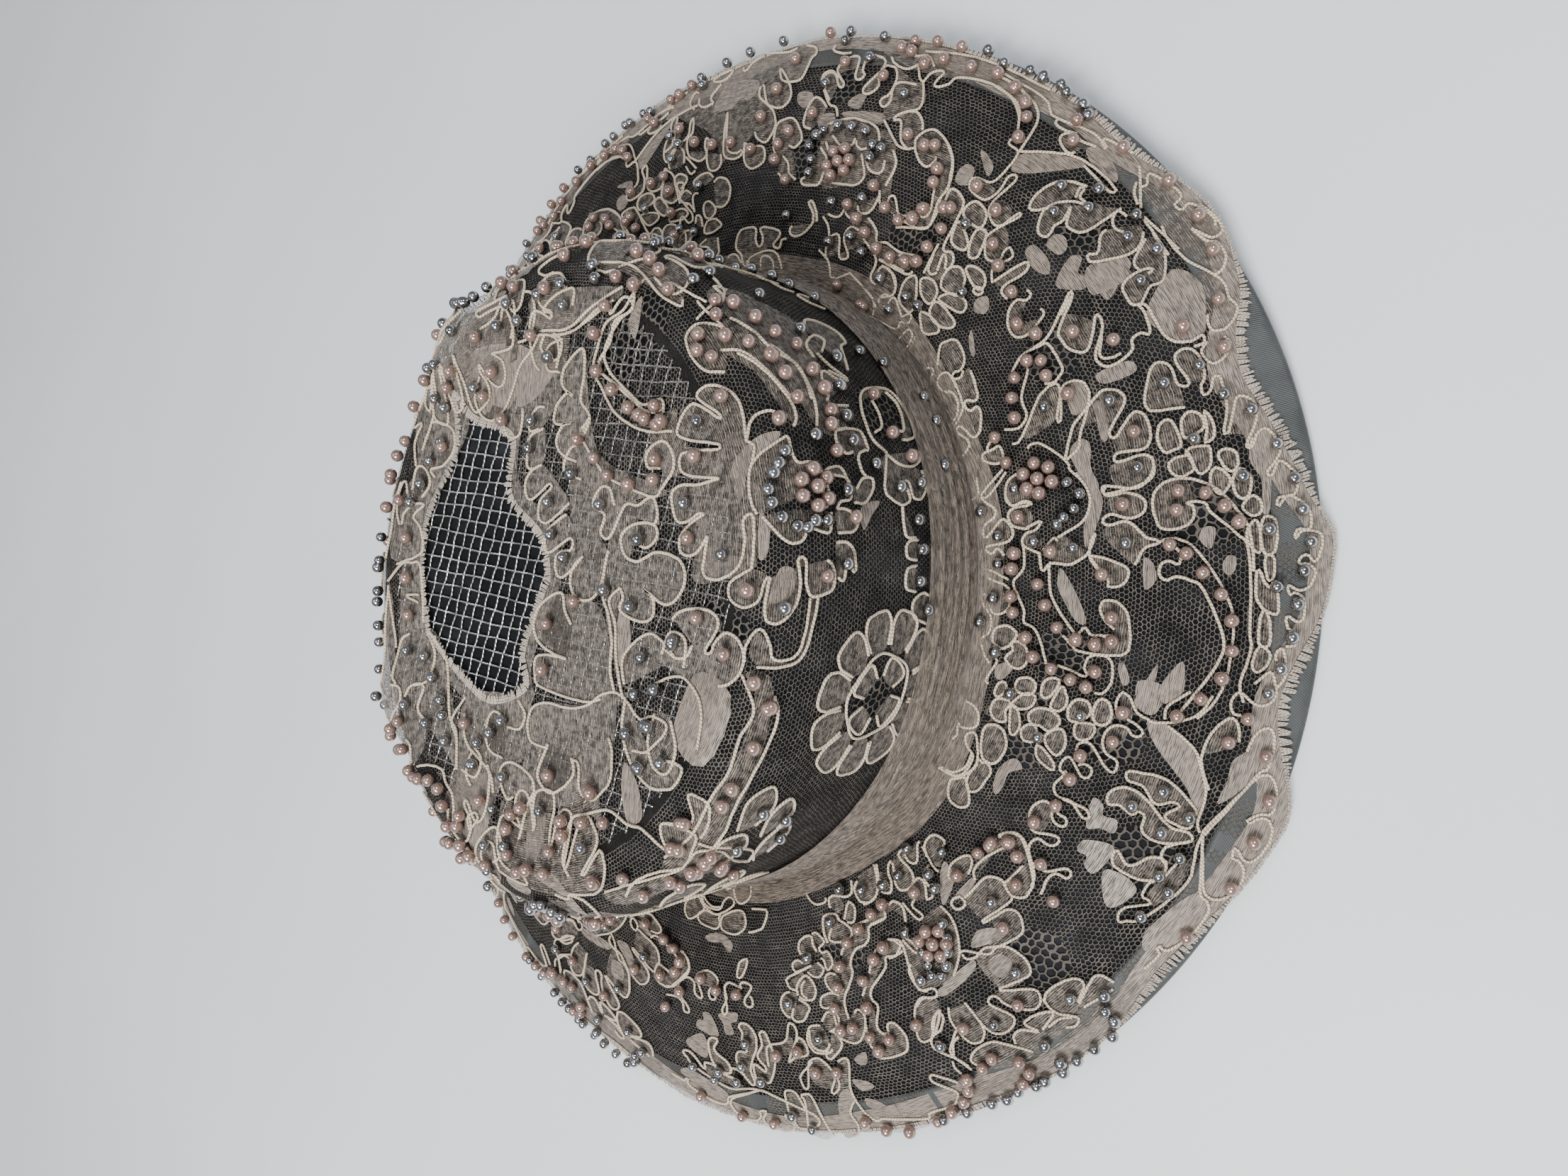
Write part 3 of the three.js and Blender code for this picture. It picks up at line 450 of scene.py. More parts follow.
    -2,3,-17,-3,-2,-5,6,-7,-4,-3,-4,1,-1,6,-5,1], [1826,44,0,-13,6,-2,6,9,9,4,-9,4],
    [1846,26,2,7,7,5,8,1,4,-3,-3,-6], [1841,58,1,9,4,3,2,-7], [1826,72,-7,-2,-6,5,-1,11,4,8,7,4,5,-3],
    [1829,100,4,6,7,1,7,-3,0,-4,-5,-6], [1850,92,5,6,6,-4,1,-6], [1862,89,3,19,0,8,-5,1,-6,-6,1,-6,5,-3],
    [1857,127,0,10,4,9,6,1,4,-10,-1,-9], [1773,108,4,8,2,20,-5,5,-7,0,-6,-7,-5,-9,-1,-6,4,-5,5,2],
    [1786,153,-5,-11,-1,-9,3,-10,4,-1,6,5,3,6], [1796,119,-6,0,-5,-3,-2,-10,2,-4,7,-3,6,3,4,9,0,14],
    [1803,125,0,-8,4,-5,7,1,7,9,2,40], [1823,120,-1,-9,4,-5,6,2,3,8,1,11,-1,10,3,6,0,-10,-2,-8,5,-4,6,4,6,8,2,17,-4,5,
    0,11,1,7,2,-6,0,-11,4,-5,6,2,3,9,-1,21,2,3,3,-8,-3,-22,3,-5,4,-1],
    [1799,181,-7,-20,-6,-6,-7,-2,-4,5,0,8,4,10,10,18,0,-4,-4,-9,-8,-3,-6,3,-1,19,-2,4,2,7,7,4],
    [1750,130,6,3,2,8,0,9,-2,9,-5,-1,-7,-8], [1744,156,11,19,-1,7,-4,1,-6,-5],
    ],
    "petal": [
    [1197,24,-9,3,-5,6,2,9,7,3,13,-12,-4,-5], [1206,34,-7,5,3,6,10,2,9,0,3,-6,-2,-3,2,-3,-7,0],
    [1229,34,-4,4,1,8,7,3,9,0,8,-5,2,-6,-2,-7,-4,-2,-8,1], [1272,30,2,-3,7,1,3,4,-4,3,-6,-2],
    [1270,30,-6,-2,-6,2,-3,6,3,6,6,-3,7,2,1,-6], [1269,42,-16,5,-2,4,7,2,7,-3,5,-5],
    [1270,42,0,8,4,6,7,1,1,-5,-4,-6], [1282,41,7,1,3,7,-3,6,-7,-1,-2,-7], [1252,57,6,-2,5,5,-2,5,-7,2,-3,-6],
    [1264,66,-1,-6,5,-4,6,4,2,9,-3,8,-4,1,-6,-5], [1253,77,-2,7,7,3,7,-3,2,-4,-4,-6,-5,-2],
    [1252,69,-7,3,-3,8,0,6,4,-2,4,-7], [1275,89,-1,-5,3,-2,4,-1,6,3,1,7,-3,4,-5,0],
    [1274,89,-5,0,-4,4,2,6,5,3,4,-2,-1,-7], [1279,99,-2,4,2,5,6,1,6,-4,0,-6,-7,-2],
    [1292,70,-7,-3,-3,-4,3,-3,7,0,4,4,0,6], [1278,69,-1,6,5,4,7,-2,4,-4,-8,-3],
    [1224,175,-1,-9,-7,-6,-2,-5,4,-8,-1,-2,-4,1,-3,5,0,13,2,8,5,5],
    [1238,182,-6,-13,-1,-11,3,-6,6,-1,1,-5,-3,-3,2,-9,-2,-6,3,-3,5,1,4,7,-1,12,-7,16,-2,8,1,9],
    [1249,177,4,-2,8,-20,-1,-18,-2,-7,-4,2,0,10,-6,11,4,9,-1,5,-5,-5,-3,1,0,14],
    [1311,17,9,0,4,5,0,7,-4,5,-4,-1,-6,-4,-3,-5], [1304,30,-4,-1,-4,6,1,7,8,3,7,-3,3,-6,-2,-5,-5,2],
    [1356,94,4,0,7,-8,7,-3,-7,22,-7,1,-4,-6], [1413,148,-1,-5,3,-5,4,-1,3,5,0,6,3,1,-9,3],
    [1416,152,9,-2,0,12,-3,1,-7,-2,-3,-6], [1401,165,5,-5,6,1,2,4,-4,5,-4,1], [1411,173,3,-4,6,-2,2,4,-2,6,-6,0],
    [1398,177,3,-4,7,0,4,5,-5,5,-7,-2], [1320,187,3,-3,6,1,3,2,-3,6,-5,-1], [1333,186,-1,5,5,1,8,-2,3,-3,-6,-2],
    [1349,186,-2,4,0,5,9,-1,3,-6,7,-5,-8,-1,-6,1], [1363,192,-2,-3,6,-2,5,1,-1,4], [1373,184,5,-6,6,0,4,5,-6,2],
    [1390,181,4,-5,5,6,-3,5,-5,-1], [1373,187,0,5,5,2,9,0,2,-6,-8,-3], [1426,136,7,-2,7,3,2,6,-4,3,-10,1,-2,-6],
    [1431,150,7,0,5,5,-2,7,-6,1,-3,-5], [1427,161,2,6,8,1,5,-3,-9,-1], [1447,26,5,-9,4,-2,3,3,0,8,1,4,-8,1],
    [1567,30,3,-6,7,-4,7,3,7,7,-17,3], [1584,34,-10,-2,-7,2,-6,5,2,5,22,0], [1590,38,-2,4,2,7,7,4,7,-1,4,-5,-9,-8],
    [1599,23,14,1,5,7,1,10,-6,6,-12,-14], [1575,59,7,-4,8,-1,4,6,0,9,-6,5,-9,-4], [1565,75,3,6,6,2,8,-2,2,-5,-13,-4],
    [1564,58,1,-7,20,-5,-4,9,-10,5], [1563,74,1,-4,5,-1,-1,5], [1594,86,5,-3,7,1,4,8,1,7,-14,-7],
    [1584,88,4,-4,5,5,4,10,-1,5,-5,1,-5,-10], [1597,104,0,7,4,5,8,2,4,-4,0,-7,-5,-4],
    [1840,52,-8,-2,-10,3,0,3,5,5,9,0], [1827,67,6,-4,5,4,0,10,-5,2,-6,-7], [1827,211,2,-6,6,-2,6,5,-5,4,-5,0],
    ],
    "toile": [
    [1027,61,-1,-14,13,-4,3,6,-14,11], [1038,38,0,-5,8,-3,4,5,0,6,-7,3], [1047,50,8,-10,4,2,-2,10,-4,3],
    [1033,53,10,-1,6,5,0,6,-18,0], [999,67,-1,-4,8,-9,6,2,2,11,-8,3], [1014,53,7,5,-2,5,-4,-2],
    [1018,69,6,3,-1,9,-5,1], [999,74,-9,-1,-1,4,15,0], [1001,82,9,5,5,-6,-4,-5,-7,3], [982,89,15,-8,-8,13,-6,-1],
    [989,100,0,-8,9,-7,6,9,-6,9], [982,96,-9,6,0,11,6,3,8,-16], [979,116,4,-8,12,0,-3,6,-9,6],
    [987,130,11,-5,2,17,-9,6,-5,-6], [1001,122,10,-6,3,4,-2,7,-8,4], [1006,131,3,6,-5,11,-9,4,5,-10],
    [1024,88,-9,0,-1,6,5,7,7,-1], [1021,104,-13,-2,-3,6,5,4,7,-3],
    [1034,75,16,-14,25,-4,6,3,0,3,-15,0,-4,7,-19,8,-6,14,-16,19,0,12,7,-3,4,7,-5,10,-10,6,-7,-6,2,-20,15,-25],
    [1081,84,-6,-6,-12,3,-25,28,-2,16,-8,16,0,10,5,9,12,0,7,-13,-3,-11,-10,5,-1,-7,9,-28,21,-17,13,2],
    [1067,31,14,-3,0,18,-10,0,-5,-8], [1081,131,-12,-1,-10,21,7,5,15,-17], [951,150,21,-17,-2,15,-13,3,-6,11],
    [968,155,9,-18,5,-1,1,8,-3,5], [977,164,3,-8,7,-4,7,10,-5,16,-10,-2], [954,195,5,-13,6,12,-3,26,-8,-3],
    [966,195,4,-11,6,38,-13,0], [1001,156,6,1,-7,23,-6,7,-4,-4,6,-17],
    [1007,209,28,6,39,-21,0,7,-17,13,-22,6,-18,2,-13,-5], [1069,31,8,-7,16,2,-4,12,-14,9,-6,-1],
    [1090,38,4,-7,7,7,-5,11,-7,-5], [1103,46,7,-15,9,2,1,13,-3,7,-13,-1], [1118,32,7,-3,12,6,-10,9,-6,-5],
    [1138,46,11,-9,8,8,-3,5,-14,8], [1141,70,8,-7,14,6,-10,8,-9,0], [1069,56,17,-4,12,11,-3,11,-6,-13,-20,2],
    [1115,55,8,0,-4,12,-9,-1,0,-6], [1069,80,6,-2,8,6,-14,7], [1077,113,6,-29,19,8,3,-12,18,0,-1,19,-21,26,-24,-3],
    [1140,87,18,0,8,10,-3,11,-23,-1], [1144,111,13,5,0,7,-10,8,-14,-4,-2,-5,9,-5], [1119,123,13,2,8,14,-5,16,-17,-5],
    [1113,153,6,0,12,11,-7,11,-9,-8], [1096,156,11,-1,5,14,-8,8,-8,-10], [1082,151,4,-7,10,4,0,13,-7,13,-6,-5],
    [1154,83,32,-8,9,11,-6,14,-6,2,2,-10,-9,-11], [1163,109,3,-9,16,2,3,4,-13,10], [1130,180,5,-9,15,5,1,7,-16,11],
    [1142,190,14,-6,5,8,-3,6,-16,-4], [1077,183,12,-6,12,10,6,11,-8,3,-17,-7], [1103,187,7,-6,17,0,8,13,1,4,-29,0],
    [1069,200,33,3,59,-3,4,11,-18,6,-78,-6], [1202,182,6,-6,23,11,-19,2], [1296,175,-17,-6,9,17,10,-6],
    [1284,115,14,-3,-2,6,-11,4], [1204,92,4,-5,8,-1,6,6,-2,5,-14,3], [1263,114,12,-4,5,6,-1,6,-8,-2],
    [1332,17,4,-5,12,1,1,8,-5,4,-7,-1], [1379,12,13,-2,12,10,-3,7,-9,1,-5,-5],
    [1368,111,16,-19,7,3,1,13,-13,16,-2,-7], [1397,99,11,-2,0,11,-3,9,-5,3,-5,-4,-1,-9],
    [1413,103,12,-1,0,26,-8,0,-5,-6,-2,-9], [1372,55,5,-4,11,10,-12,19,-5,-6,-1,-10],
    [1395,39,6,-12,6,-1,4,4,-1,9,-7,5], [1414,39,-1,-8,3,-3,9,-1,0,17,-6,0],
    [1316,92,2,15,6,4,18,-4,6,-13,-6,-4,-15,12,0,-10], [1387,128,13,-4,7,3,4,8,0,11,-19,2,-6,-12],
    [1381,39,7,-4,4,6,0,6,-9,2], [1416,-3,9,0,0,13,-13,7,-5,-4,-1,-11], [1431,108,9,1,10,14,-5,8,-7,0,-8,-8],
    [1451,86,16,22,-3,12,-4,2,-15,-15,7,-7], [1458,49,19,17,5,9,-2,9,-9,-3,-9,-6,-4,-12],
    [1493,108,12,-8,7,2,6,9,-13,13,-11,-10], [1448,137,3,-4,6,1,13,10,1,7,-15,5,-10,-3],
    [1457,162,12,-3,4,3,0,7,-5,4,-10,-1], [1430,173,12,6,14,1,-15,14,-14,-5,1,-9],
    [1462,180,8,-4,3,5,0,9,-4,3,-5,-6], [1476,194,1,-7,8,1,20,10,-7,7,-14,1,-5,-5],
    [1504,156,1,-5,7,-1,5,5,1,14,-8,-3], [1509,170,15,-4,7,18,-10,1,-12,-9], [1475,13,12,-5,11,9,-3,7,-10,0,-9,-5],
    [1501,24,3,-7,19,1,3,12,-3,3,-20,-4], [1415,28,17,2,1,12,-13,4,-5,-4], [1501,203,24,-8,0,12,-11,8,-12,-6],
    [1517,214,8,-7,8,1,0,12,-15,2], [1529,26,3,-7,14,-2,9,7,0,7,-4,5,-19,-4], [1519,10,12,-5,6,8,-4,4,-14,-1],
    [1521,80,4,-6,10,1,7,9,-3,10,-5,-8,-7,0,-2,9,-4,-6], [1552,86,4,3,-1,20,4,0,4,-23,-5,0],
    [1572,96,7,-4,10,13,-4,12,-11,-9], [1587,116,5,-3,7,4,3,8,-5,5,-9,-3], [1606,123,13,-1,3,6,-14,5],
    [1551,178,0,-20,2,-8,5,-3,5,2,5,9,-13,18], [1563,131,5,-1,8,14,-2,9,-6,5,-3,-17],
    [1571,173,3,-25,8,-11,4,14,-2,11,-6,8], [1529,173,3,-20,3,-8,5,-1,0,11,6,7,-6,18,-5,2],
    [1613,100,14,-5,3,19,-10,0,-5,-6], [1590,186,2,-3,7,2,3,5,-10,6], [1519,193,33,5,5,8,0,4,-32,12,-6,-1],
    [1603,7,26,-5,-10,22,-16,-8], [1624,24,6,-7,20,7,-4,14,-16,-1,-6,-6], [1632,7,5,-7,13,0,0,16,-11,-3],
    [1597,55,11,-2,3,17,-3,7,-7,1,-5,-3,-2,-8], [1625,45,26,-3,48,25,-3,10,-31,-16,-7,-8,-33,3],
    [1627,84,9,-7,21,0,10,4,0,7,-13,-8,-7,1,-9,7,-1,14,6,15,8,10,7,-6,12,12,1,6,-10,9,-18,-12,-11,-23],
    [1667,81,21,21,8,23,0,12,-12,-7,-10,-22], [1681,162,18,-18,4,9,2,19,-2,6,-15,2],
    [1628,187,19,10,41,-7,29,9,4,12,-96,1], [1694,94,14,-8,21,-2,12,49,-16,8,-22,-3,-9,-13],
    [1786,153,17,-28,16,3,3,34,14,7,2,15,-5,16,-27,15,-29,0,-7,-15,7,-22,12,12,11,-10], [1751,86,12,1,10,21,-9,8],
    [1837,180,13,6,7,11,-6,14,-29,4,12,-15], [1823,120,13,28,30,36,-4,19,-38,-41],
    ],
    "satin": [
    [1007,190,7,4,3,7,-7,0,-5,-6], [1012,156,9,-4,-2,9,-5,1], [1004,173,8,2,4,6,-9,2],
    [983,223,6,-33,9,-10,1,10,-5,10,0,17], [1086,128,29,-5,-2,7,-24,4], [1121,116,10,-6,10,7,-1,8,-9,-3],
    [1121,133,10,-2,2,11,-11,3], [1135,81,16,-1,2,4,-13,2], [1124,80,11,-16,11,-6,-2,12,-9,7],
    [1249,178,11,-11,15,-26,12,-10,0,14,-7,17,-18,16], [1207,125,7,0,5,16,-5,4,-13,-3,1,-8,5,-2],
    [1191,158,11,-11,5,1,1,13,-4,9,-12,-5], [1221,122,16,-5,-1,8,-5,3,1,9,-7,2,-1,-9],
    [1208,58,5,-5,12,-2,9,4,3,5,-4,6,-7,-7,-11,1], [1285,24,8,-1,5,7,-2,6,-11,-6],
    [1246,10,7,-1,2,5,-3,6,-6,1,-3,-5], [1182,195,8,-6,18,5,9,7,-9,7,-22,-7], [1279,186,8,8,6,-2,-18,8,-17,-13,12,0],
    [1293,123,13,-3,0,16,-9,1,-7,-4], [1379,80,22,12,11,0,13,-6,0,-6,-14,6,-19,-7], [1302,111,9,-5,3,3,-9,6],
    [1355,117,16,-1,-2,6,-9,2], [1294,120,23,10,-23,-2], [1298,137,8,-3,14,10,-14,4,-7,-6],
    [1377,153,4,-3,5,3,-1,7,-9,-3], [1363,166,4,-3,5,3,-1,5,-6,-1], [1392,187,13,2,11,-5,9,6,0,7,-32,-5],
    [1334,74,18,-13,11,-1,2,4,-29,17], [1356,7,13,-5,5,5,-3,4,-11,-2], [1462,86,16,3,0,10,-12,1,-6,-8],
    [1477,180,1,-14,7,-7,13,-3,14,27,-12,11,-15,-7], [1513,139,11,-2,7,4,0,20,-7,3,-6,-13],
    [1471,113,7,-2,0,22,-7,1], [1441,100,21,2,-2,6,-18,-3], [1413,86,24,-9,8,9,-5,6,-13,-3,-12,3],
    [1581,183,16,-25,11,-8,2,15,-20,17], [1526,127,10,-11,9,18,-4,7,-6,-8,-5,3,-4,-3],
    [1544,117,8,-6,12,3,0,8,-12,1], [1550,130,9,-2,2,9,-5,4,-6,-4], [1519,133,14,4,0,11,-14,13],
    [1623,123,10,2,0,11,-7,0], [1617,137,13,11,-1,3,-11,-6], [1565,189,16,-1,7,6,-7,6,-13,-5],
    [1551,64,7,-4,5,6,-4,8,-7,-4], [1533,39,11,5,4,6,-16,-8], [1701,141,24,1,6,5,-28,3],
    [1721,151,9,2,-1,8,-8,5,-1,-8], [1625,122,7,0,2,11,-7,3], [1733,130,10,0,5,12,-11,3],
    [1804,175,6,-5,5,5,7,-9,14,7,-5,22,-7,2,-19,-8], [1795,208,18,-13,0,13,-7,7,-9,-3], [1757,158,5,-7,7,7,1,9,-9,-1],
    ],
    "pearl": [
    [960,148,17,-4,8,18,14,1,3,44,10,9,3,-86,1,-17,7,17,1,89,0,-121,8,-15,0,57,1,12,6,-34,3,98,1,-70,2,-78,0,30,7,114,
    6,-150,2,25,1,120,3,-64,3,57,2,-7,1,0,1,-111,0,0,3,-26,0,0,7,134,5,-136,1,105,2,28,4,25,6,-4,0,-10,15,-137,6,104,
    26,-45,2,-47,22,0,1,33,6,26,2,-56,2,0,4,19,0,0,4,-10,0,-1,1,27,8,98,11,-117,15,7,2,116,16,-116,6,115,9,-115,10,
    113,4,-97,14,87,2,-22,1,-65,5,32,3,-58,2,-11,1,109,3,-123,2,94,2,-65,1,-43,8,118,4,-126,3,48,1,-13,2,23,3,71,1,
    -108,6,-33,3,68,4,71,0,-116,5,-25,7,134,2,-115,6,43,2,61,3,-123,6,114,5,-86,0,76,0,-102,9,143,8,-35,0,27,6,-59,1,
    49,1,-120,2,105,35,-19,5,-88,21,-3,2,158,5,-99,0,-40,10,122,3,-119,3,28,0,117,2,-67,7,-70,1,22,5,-9,1,36,6,100,5,
    -122,12,127,0,-134,0,134,1,-134,19,10,1,123,18,-118,8,113,5,-106,14,89,1,-70,6,82,14,-77,1,-39,1,-17,0,-13,0,113,
    3,-68,2,83,2,-85,2,-48,1,0,1,142,1,1,7,-103,1,0,2,108,0,1,0,-120,1,1,0,-34,0,0,1,64,0,0,0,-108,3,118,0,0,1,-118,4,
    71,3,129,3,-67,0,-88,6,84,3,-54,3,124,4,-147,5,81,3,-128,1,207,1,-124,2,-29,1,139,9,-7,1,21,2,-144,9,131,2,11,5,
    -8,1,-27,30,11,8,-47,7,-58,4,136,3,-94,6,-25,0,15,8,81,6,-28,6,-25,3,-29,19,10,16,4,16,10,11,71,5,-47,8,-61,0,-44,
    0,22,3,127,1,-88],
    ],
    "silver": [
    [957,203,10,11,14,-110,15,30,11,-64,29,-22,9,168,10,-188,4,188,10,-53,4,53,0,0,2,-180,0,0,6,181,2,-103,5,102,3,
    -100,1,-36,1,28,2,-66,0,57,1,21,1,98,5,-51,0,51,1,-102,6,-7,1,-66,2,176,2,-119,0,113,1,-16,3,-106,3,127,8,-150,1,
    -36,1,187,1,-162,0,91,9,71,1,-36,5,29,1,-8,3,-151,2,49,1,94,42,-16,16,5,5,-10,12,5,7,-17,7,-22,5,33,7,-20,2,-85,
    21,-29,1,50,25,-68,8,172,11,5,1,-193,13,197,7,-188,7,190,7,-12,7,15,6,-191,6,195,2,-140,1,34,3,83,2,-145,6,165,1,
    -191,3,44,4,5,4,7,1,132,4,-28,4,-99,1,-72,7,65,0,46,0,81,4,-164,5,120,8,35,10,-12,13,-66,0,35,3,23,8,-99,42,91,10,
    19,13,-10,7,13,17,-20,5,13,5,-31,3,-83,6,99,15,-130,5,179,5,-111,1,114,3,-183,8,-16,0,200,5,3,10,-2,0,1,8,0,0,
    -187,0,187,0,-186,14,183,12,5,2,-178,16,8,2,31,3,40,5,-9,1,56,2,-46,6,-81,4,90,4,-60,7,62,9,83,2,-21,0,-62,9,-4,1,
    -37,1,11,2,20,3,-9,5,108,1,-51,0,42,1,-156,42,166,22,-1,16,-2,9,-124,5,-82,2,191,1,-149,1,160,15,-201,2,120],
    ],
}

crownCharted = {
    "cord": [
    [1010,200,30,-2,30,-6,25,-7,25,0,5,-15,-15,-20,-10,-20], [1095,198,35,-3,40,3,30,-2,30,2,25,-3,25,13],
    [1105,178,40,0,35,4,70,-3,20,6], [1128,188,2,-26,-10,-22,-20,-15], [1215,278,25,-13,10,-15,-15,-20,-35,-10],
    [1268,275,-3,-10,8,-10,14,-3], [1291,208,12,1,13,-4,3,-5,-11,-6,-10,-3,2,-11,11,-6,34,-2],
    [1345,166,-19,2,-23,4,-9,10,-5,18], [1472,204,15,-6,4,-8,-3,-8,-10,-3], [1475,172,9,-4,17,2,27,10,20,10],
    [1475,154,18,-5,20,-1,18,4,19,13], [1461,88,11,12,18,2,17,-4,12,-10,6,-20,-2,-13,-16,-7,-20,-2,-9,6,-3,13],
    [1484,68,0,-8,15,-5,14,0,9,7], [1478,95,6,-10,12,-3,14,2], [1463,42,-4,-12,2,-15,8,-4,3,9], [1452,204,14,-4,6,4],
    [1573,189,29,3,12,0], [1500,168,44,17,14,13], [1500,150,29,0,15,15,20,7,18,10], [1608,188,18,4,25,3],
    [1626,198,-3,4,29,3,53,-7,44,4], [1563,255,25,13,87,3,24,-6,-9,-15,2,-15,-17,-10,-2,-6,17,-1,12,14,9,-7,38,20],
    [1599,182,9,-7,15,0,-6,-7], [1532,120,-6,-18,12,13,12,7],
    ],
    "lobe": [
    [1200,250,-20,-15,-25,-3,-10,13,15,15,30,5], [1100,130,30,5,20,-10,-15,-10,-25,3],
    [1140,145,25,5,15,-10,-15,-12,-20,4], [1150,170,30,5,15,-13,-20,-10,-20,6], [1110,172,25,3,10,-13,-15,-10,-20,6],
    [1260,255,30,5,0,15,-30,3], [1025,160,25,10,25,-5,-5,-15,-30,-2], [1030,120,25,10,25,-8,-15,-12,-25,0],
    [1308,275,12,-7,7,-16,-2,-14,-11,-6,-26,8,-1,-5,13,-3,10,-7,-2,-10,-14,-6,-15,1,-11,5,-5,6],
    [1360,198,-14,2,-11,0,-9,-2,0,-8,12,-8,17,-3,18,2,0,-5,-18,-1,-9,-5,6,-15,15,0,6,5],
    [1367,210,-9,12,-6,4,-11,-2,-6,-10,6,-9,17,-4,2,-3], [1402,245,-35,5,-9,-8,2,-12,10,-12,20,-4,18,0,3,-6,-21,0,-23,
    2], [1402,245,-15,10,-2,10,8,6,15,-1,12,-10,5,-14], [1425,246,3,6,-4,10,4,9,15,3,23,-2,2,-10,-10,-14,-6,-20],
    [1452,228,17,22,15,9,15,-3,-3,-8,-18,-24,3,-3], [1481,221,20,19,12,8,12,4,10,-10,-1,-12,-31,-14,4,-1,18,7,13,3,-1,
    -10,-15,-10,-18,-4,-32,3], [1411,205,14,3,27,-4,14,-22,0,-4,-11,0,-9,-3,0,-10,-9,-7,-17,-3,-9,5,14,0],
    [1408,202,-21,-14,0,-10,9,-6,-3,-14,15,-3], [1360,151,-2,-5,12,-4,-6,-7,15,1,7,6,0,10],
    [1393,150,2,-15,10,-5,6,10,0,10], [1411,150,6,-5,3,-10,14,0,3,10,0,10,5,-3,1,-12,-15,-6],
    [1417,132,0,-10,11,-10,9,-2,0,10,-9,8], [1437,115,6,5,12,0,6,-9,0,-3,14,2,3,8,-3,17,-12,4,-7,-7,2,-7],
    [1478,125,-3,10,9,3,12,-6,3,-17], [1501,135,9,-5,12,1,9,-6,-6,-10,1,-13],
    [1461,88,-30,10,-8,-4,-5,-12,5,-10,14,3,0,-5,-12,-2,0,-10,12,-8,12,2], [1450,48,-13,-3,-3,-7,9,-10,15,-8],
    [1459,88,-7,-13,0,-13,7,-12,7,-2], [1349,70,2,10,7,2,9,-2,3,-10], [1374,70,2,10,9,1,5,-6,0,-7],
    [1392,70,1,10,12,2,12,-1], [1323,55,6,15,12,2,7,-10,-2,-7], [1481,32,3,-7,0,-10,12,-5,5,12,12,-10,12,-2,6,15,-9,
    10], [1538,202,12,10,20,3,21,-3,4,-10,-13,-10,-9,-3], [1582,115,14,-10,3,-15,-8,-15,-15,-1,-9,11,-29,10],
    [1544,128,14,0,15,-16,-3,-10,-17,13],
    ],
    "toile": [
    [1095,198,160,-3,25,13,-10,-23,-165,-7], [1010,200,85,-15,25,0,-10,-35,-35,25,-60,10],
    [1358,260,67,-12,56,-27,-9,-17,-64,1,-41,5,-9,20], [1499,275,51,0,0,-30,-25,7,-29,-4,-15,12],
    [1294,205,23,0,-9,-11,-10,-4,3,-15,43,-3,2,-4,-38,2,-17,18], [1475,65,3,-13,29,-4,18,14,-3,18,-15,18,15,-36,-15,
    -7,-23,5], [1550,188,-66,-13,0,-10,66,13], [1478,155,72,13,0,-33,-72,-3],
    [1250,275,18,0,20,-25,0,-10,-26,-18,-12,3], [1500,168,58,30,30,-10,-44,-23,-15,-15,-29,0],
    [1500,150,96,35,27,-10,-12,-30,-29,-30,-64,20], [1623,202,29,3,97,-3,0,-7,-97,-5],
    ],
    "satin": [
    [1190,212,70,0,0,33,-70,0], [1376,206,35,-2,-9,-6,-23,2], [1425,215,30,3,17,-18,0,-18,-11,8,-6,15],
    [1396,125,18,0,6,-20,-12,10], [1341,198,26,-6,-3,-10,-18,3], [1655,238,18,-8,-3,-18,-12,13],
    ],
    "pearl": [
    [1080,178,10,-38,10,40,8,-18,2,38,5,-22,20,27,37,-15,18,0,38,-1,32,-1,2,-2,16,13,0,0,14,21,25,30,32,-40,12,-48,44,
    -26,0,124,50,-115,4,-80,17,79,2,-64,2,102,4,60,5,-103,8,27,12,-28,0,1,4,-55,5,125,1,-41,0,0,6,-25,1,-1,9,29,2,1,
    13,-28,0,118,1,-80,3,22,7,-45,4,33,4,18,1,46,6,-89,6,37,1,67,5,-82,6,-13,7,9,42,15,25,-6,18,-3,21,-1,1,20],
    ],
    "silver": [
    [1128,252,2,-90,5,-37,25,10,0,104,12,-77,0,103,46,6,62,-3,4,0,51,-209,2,129,20,-118,13,76,10,84,2,-162,14,108,1,6,
    4,-21,0,9,4,20,1,-120,11,125,8,-53,3,54,3,-111,6,-25,2,132,5,68,2,-72,3,-81,5,-79,0,155,12,-57,0,34,21,-35,9,-105,
    18,211,1,-112,0,1,5,-99,26,85,1,0,7,-57,8,22,10,57,39,17,23,40,5,-14],
    ],
}

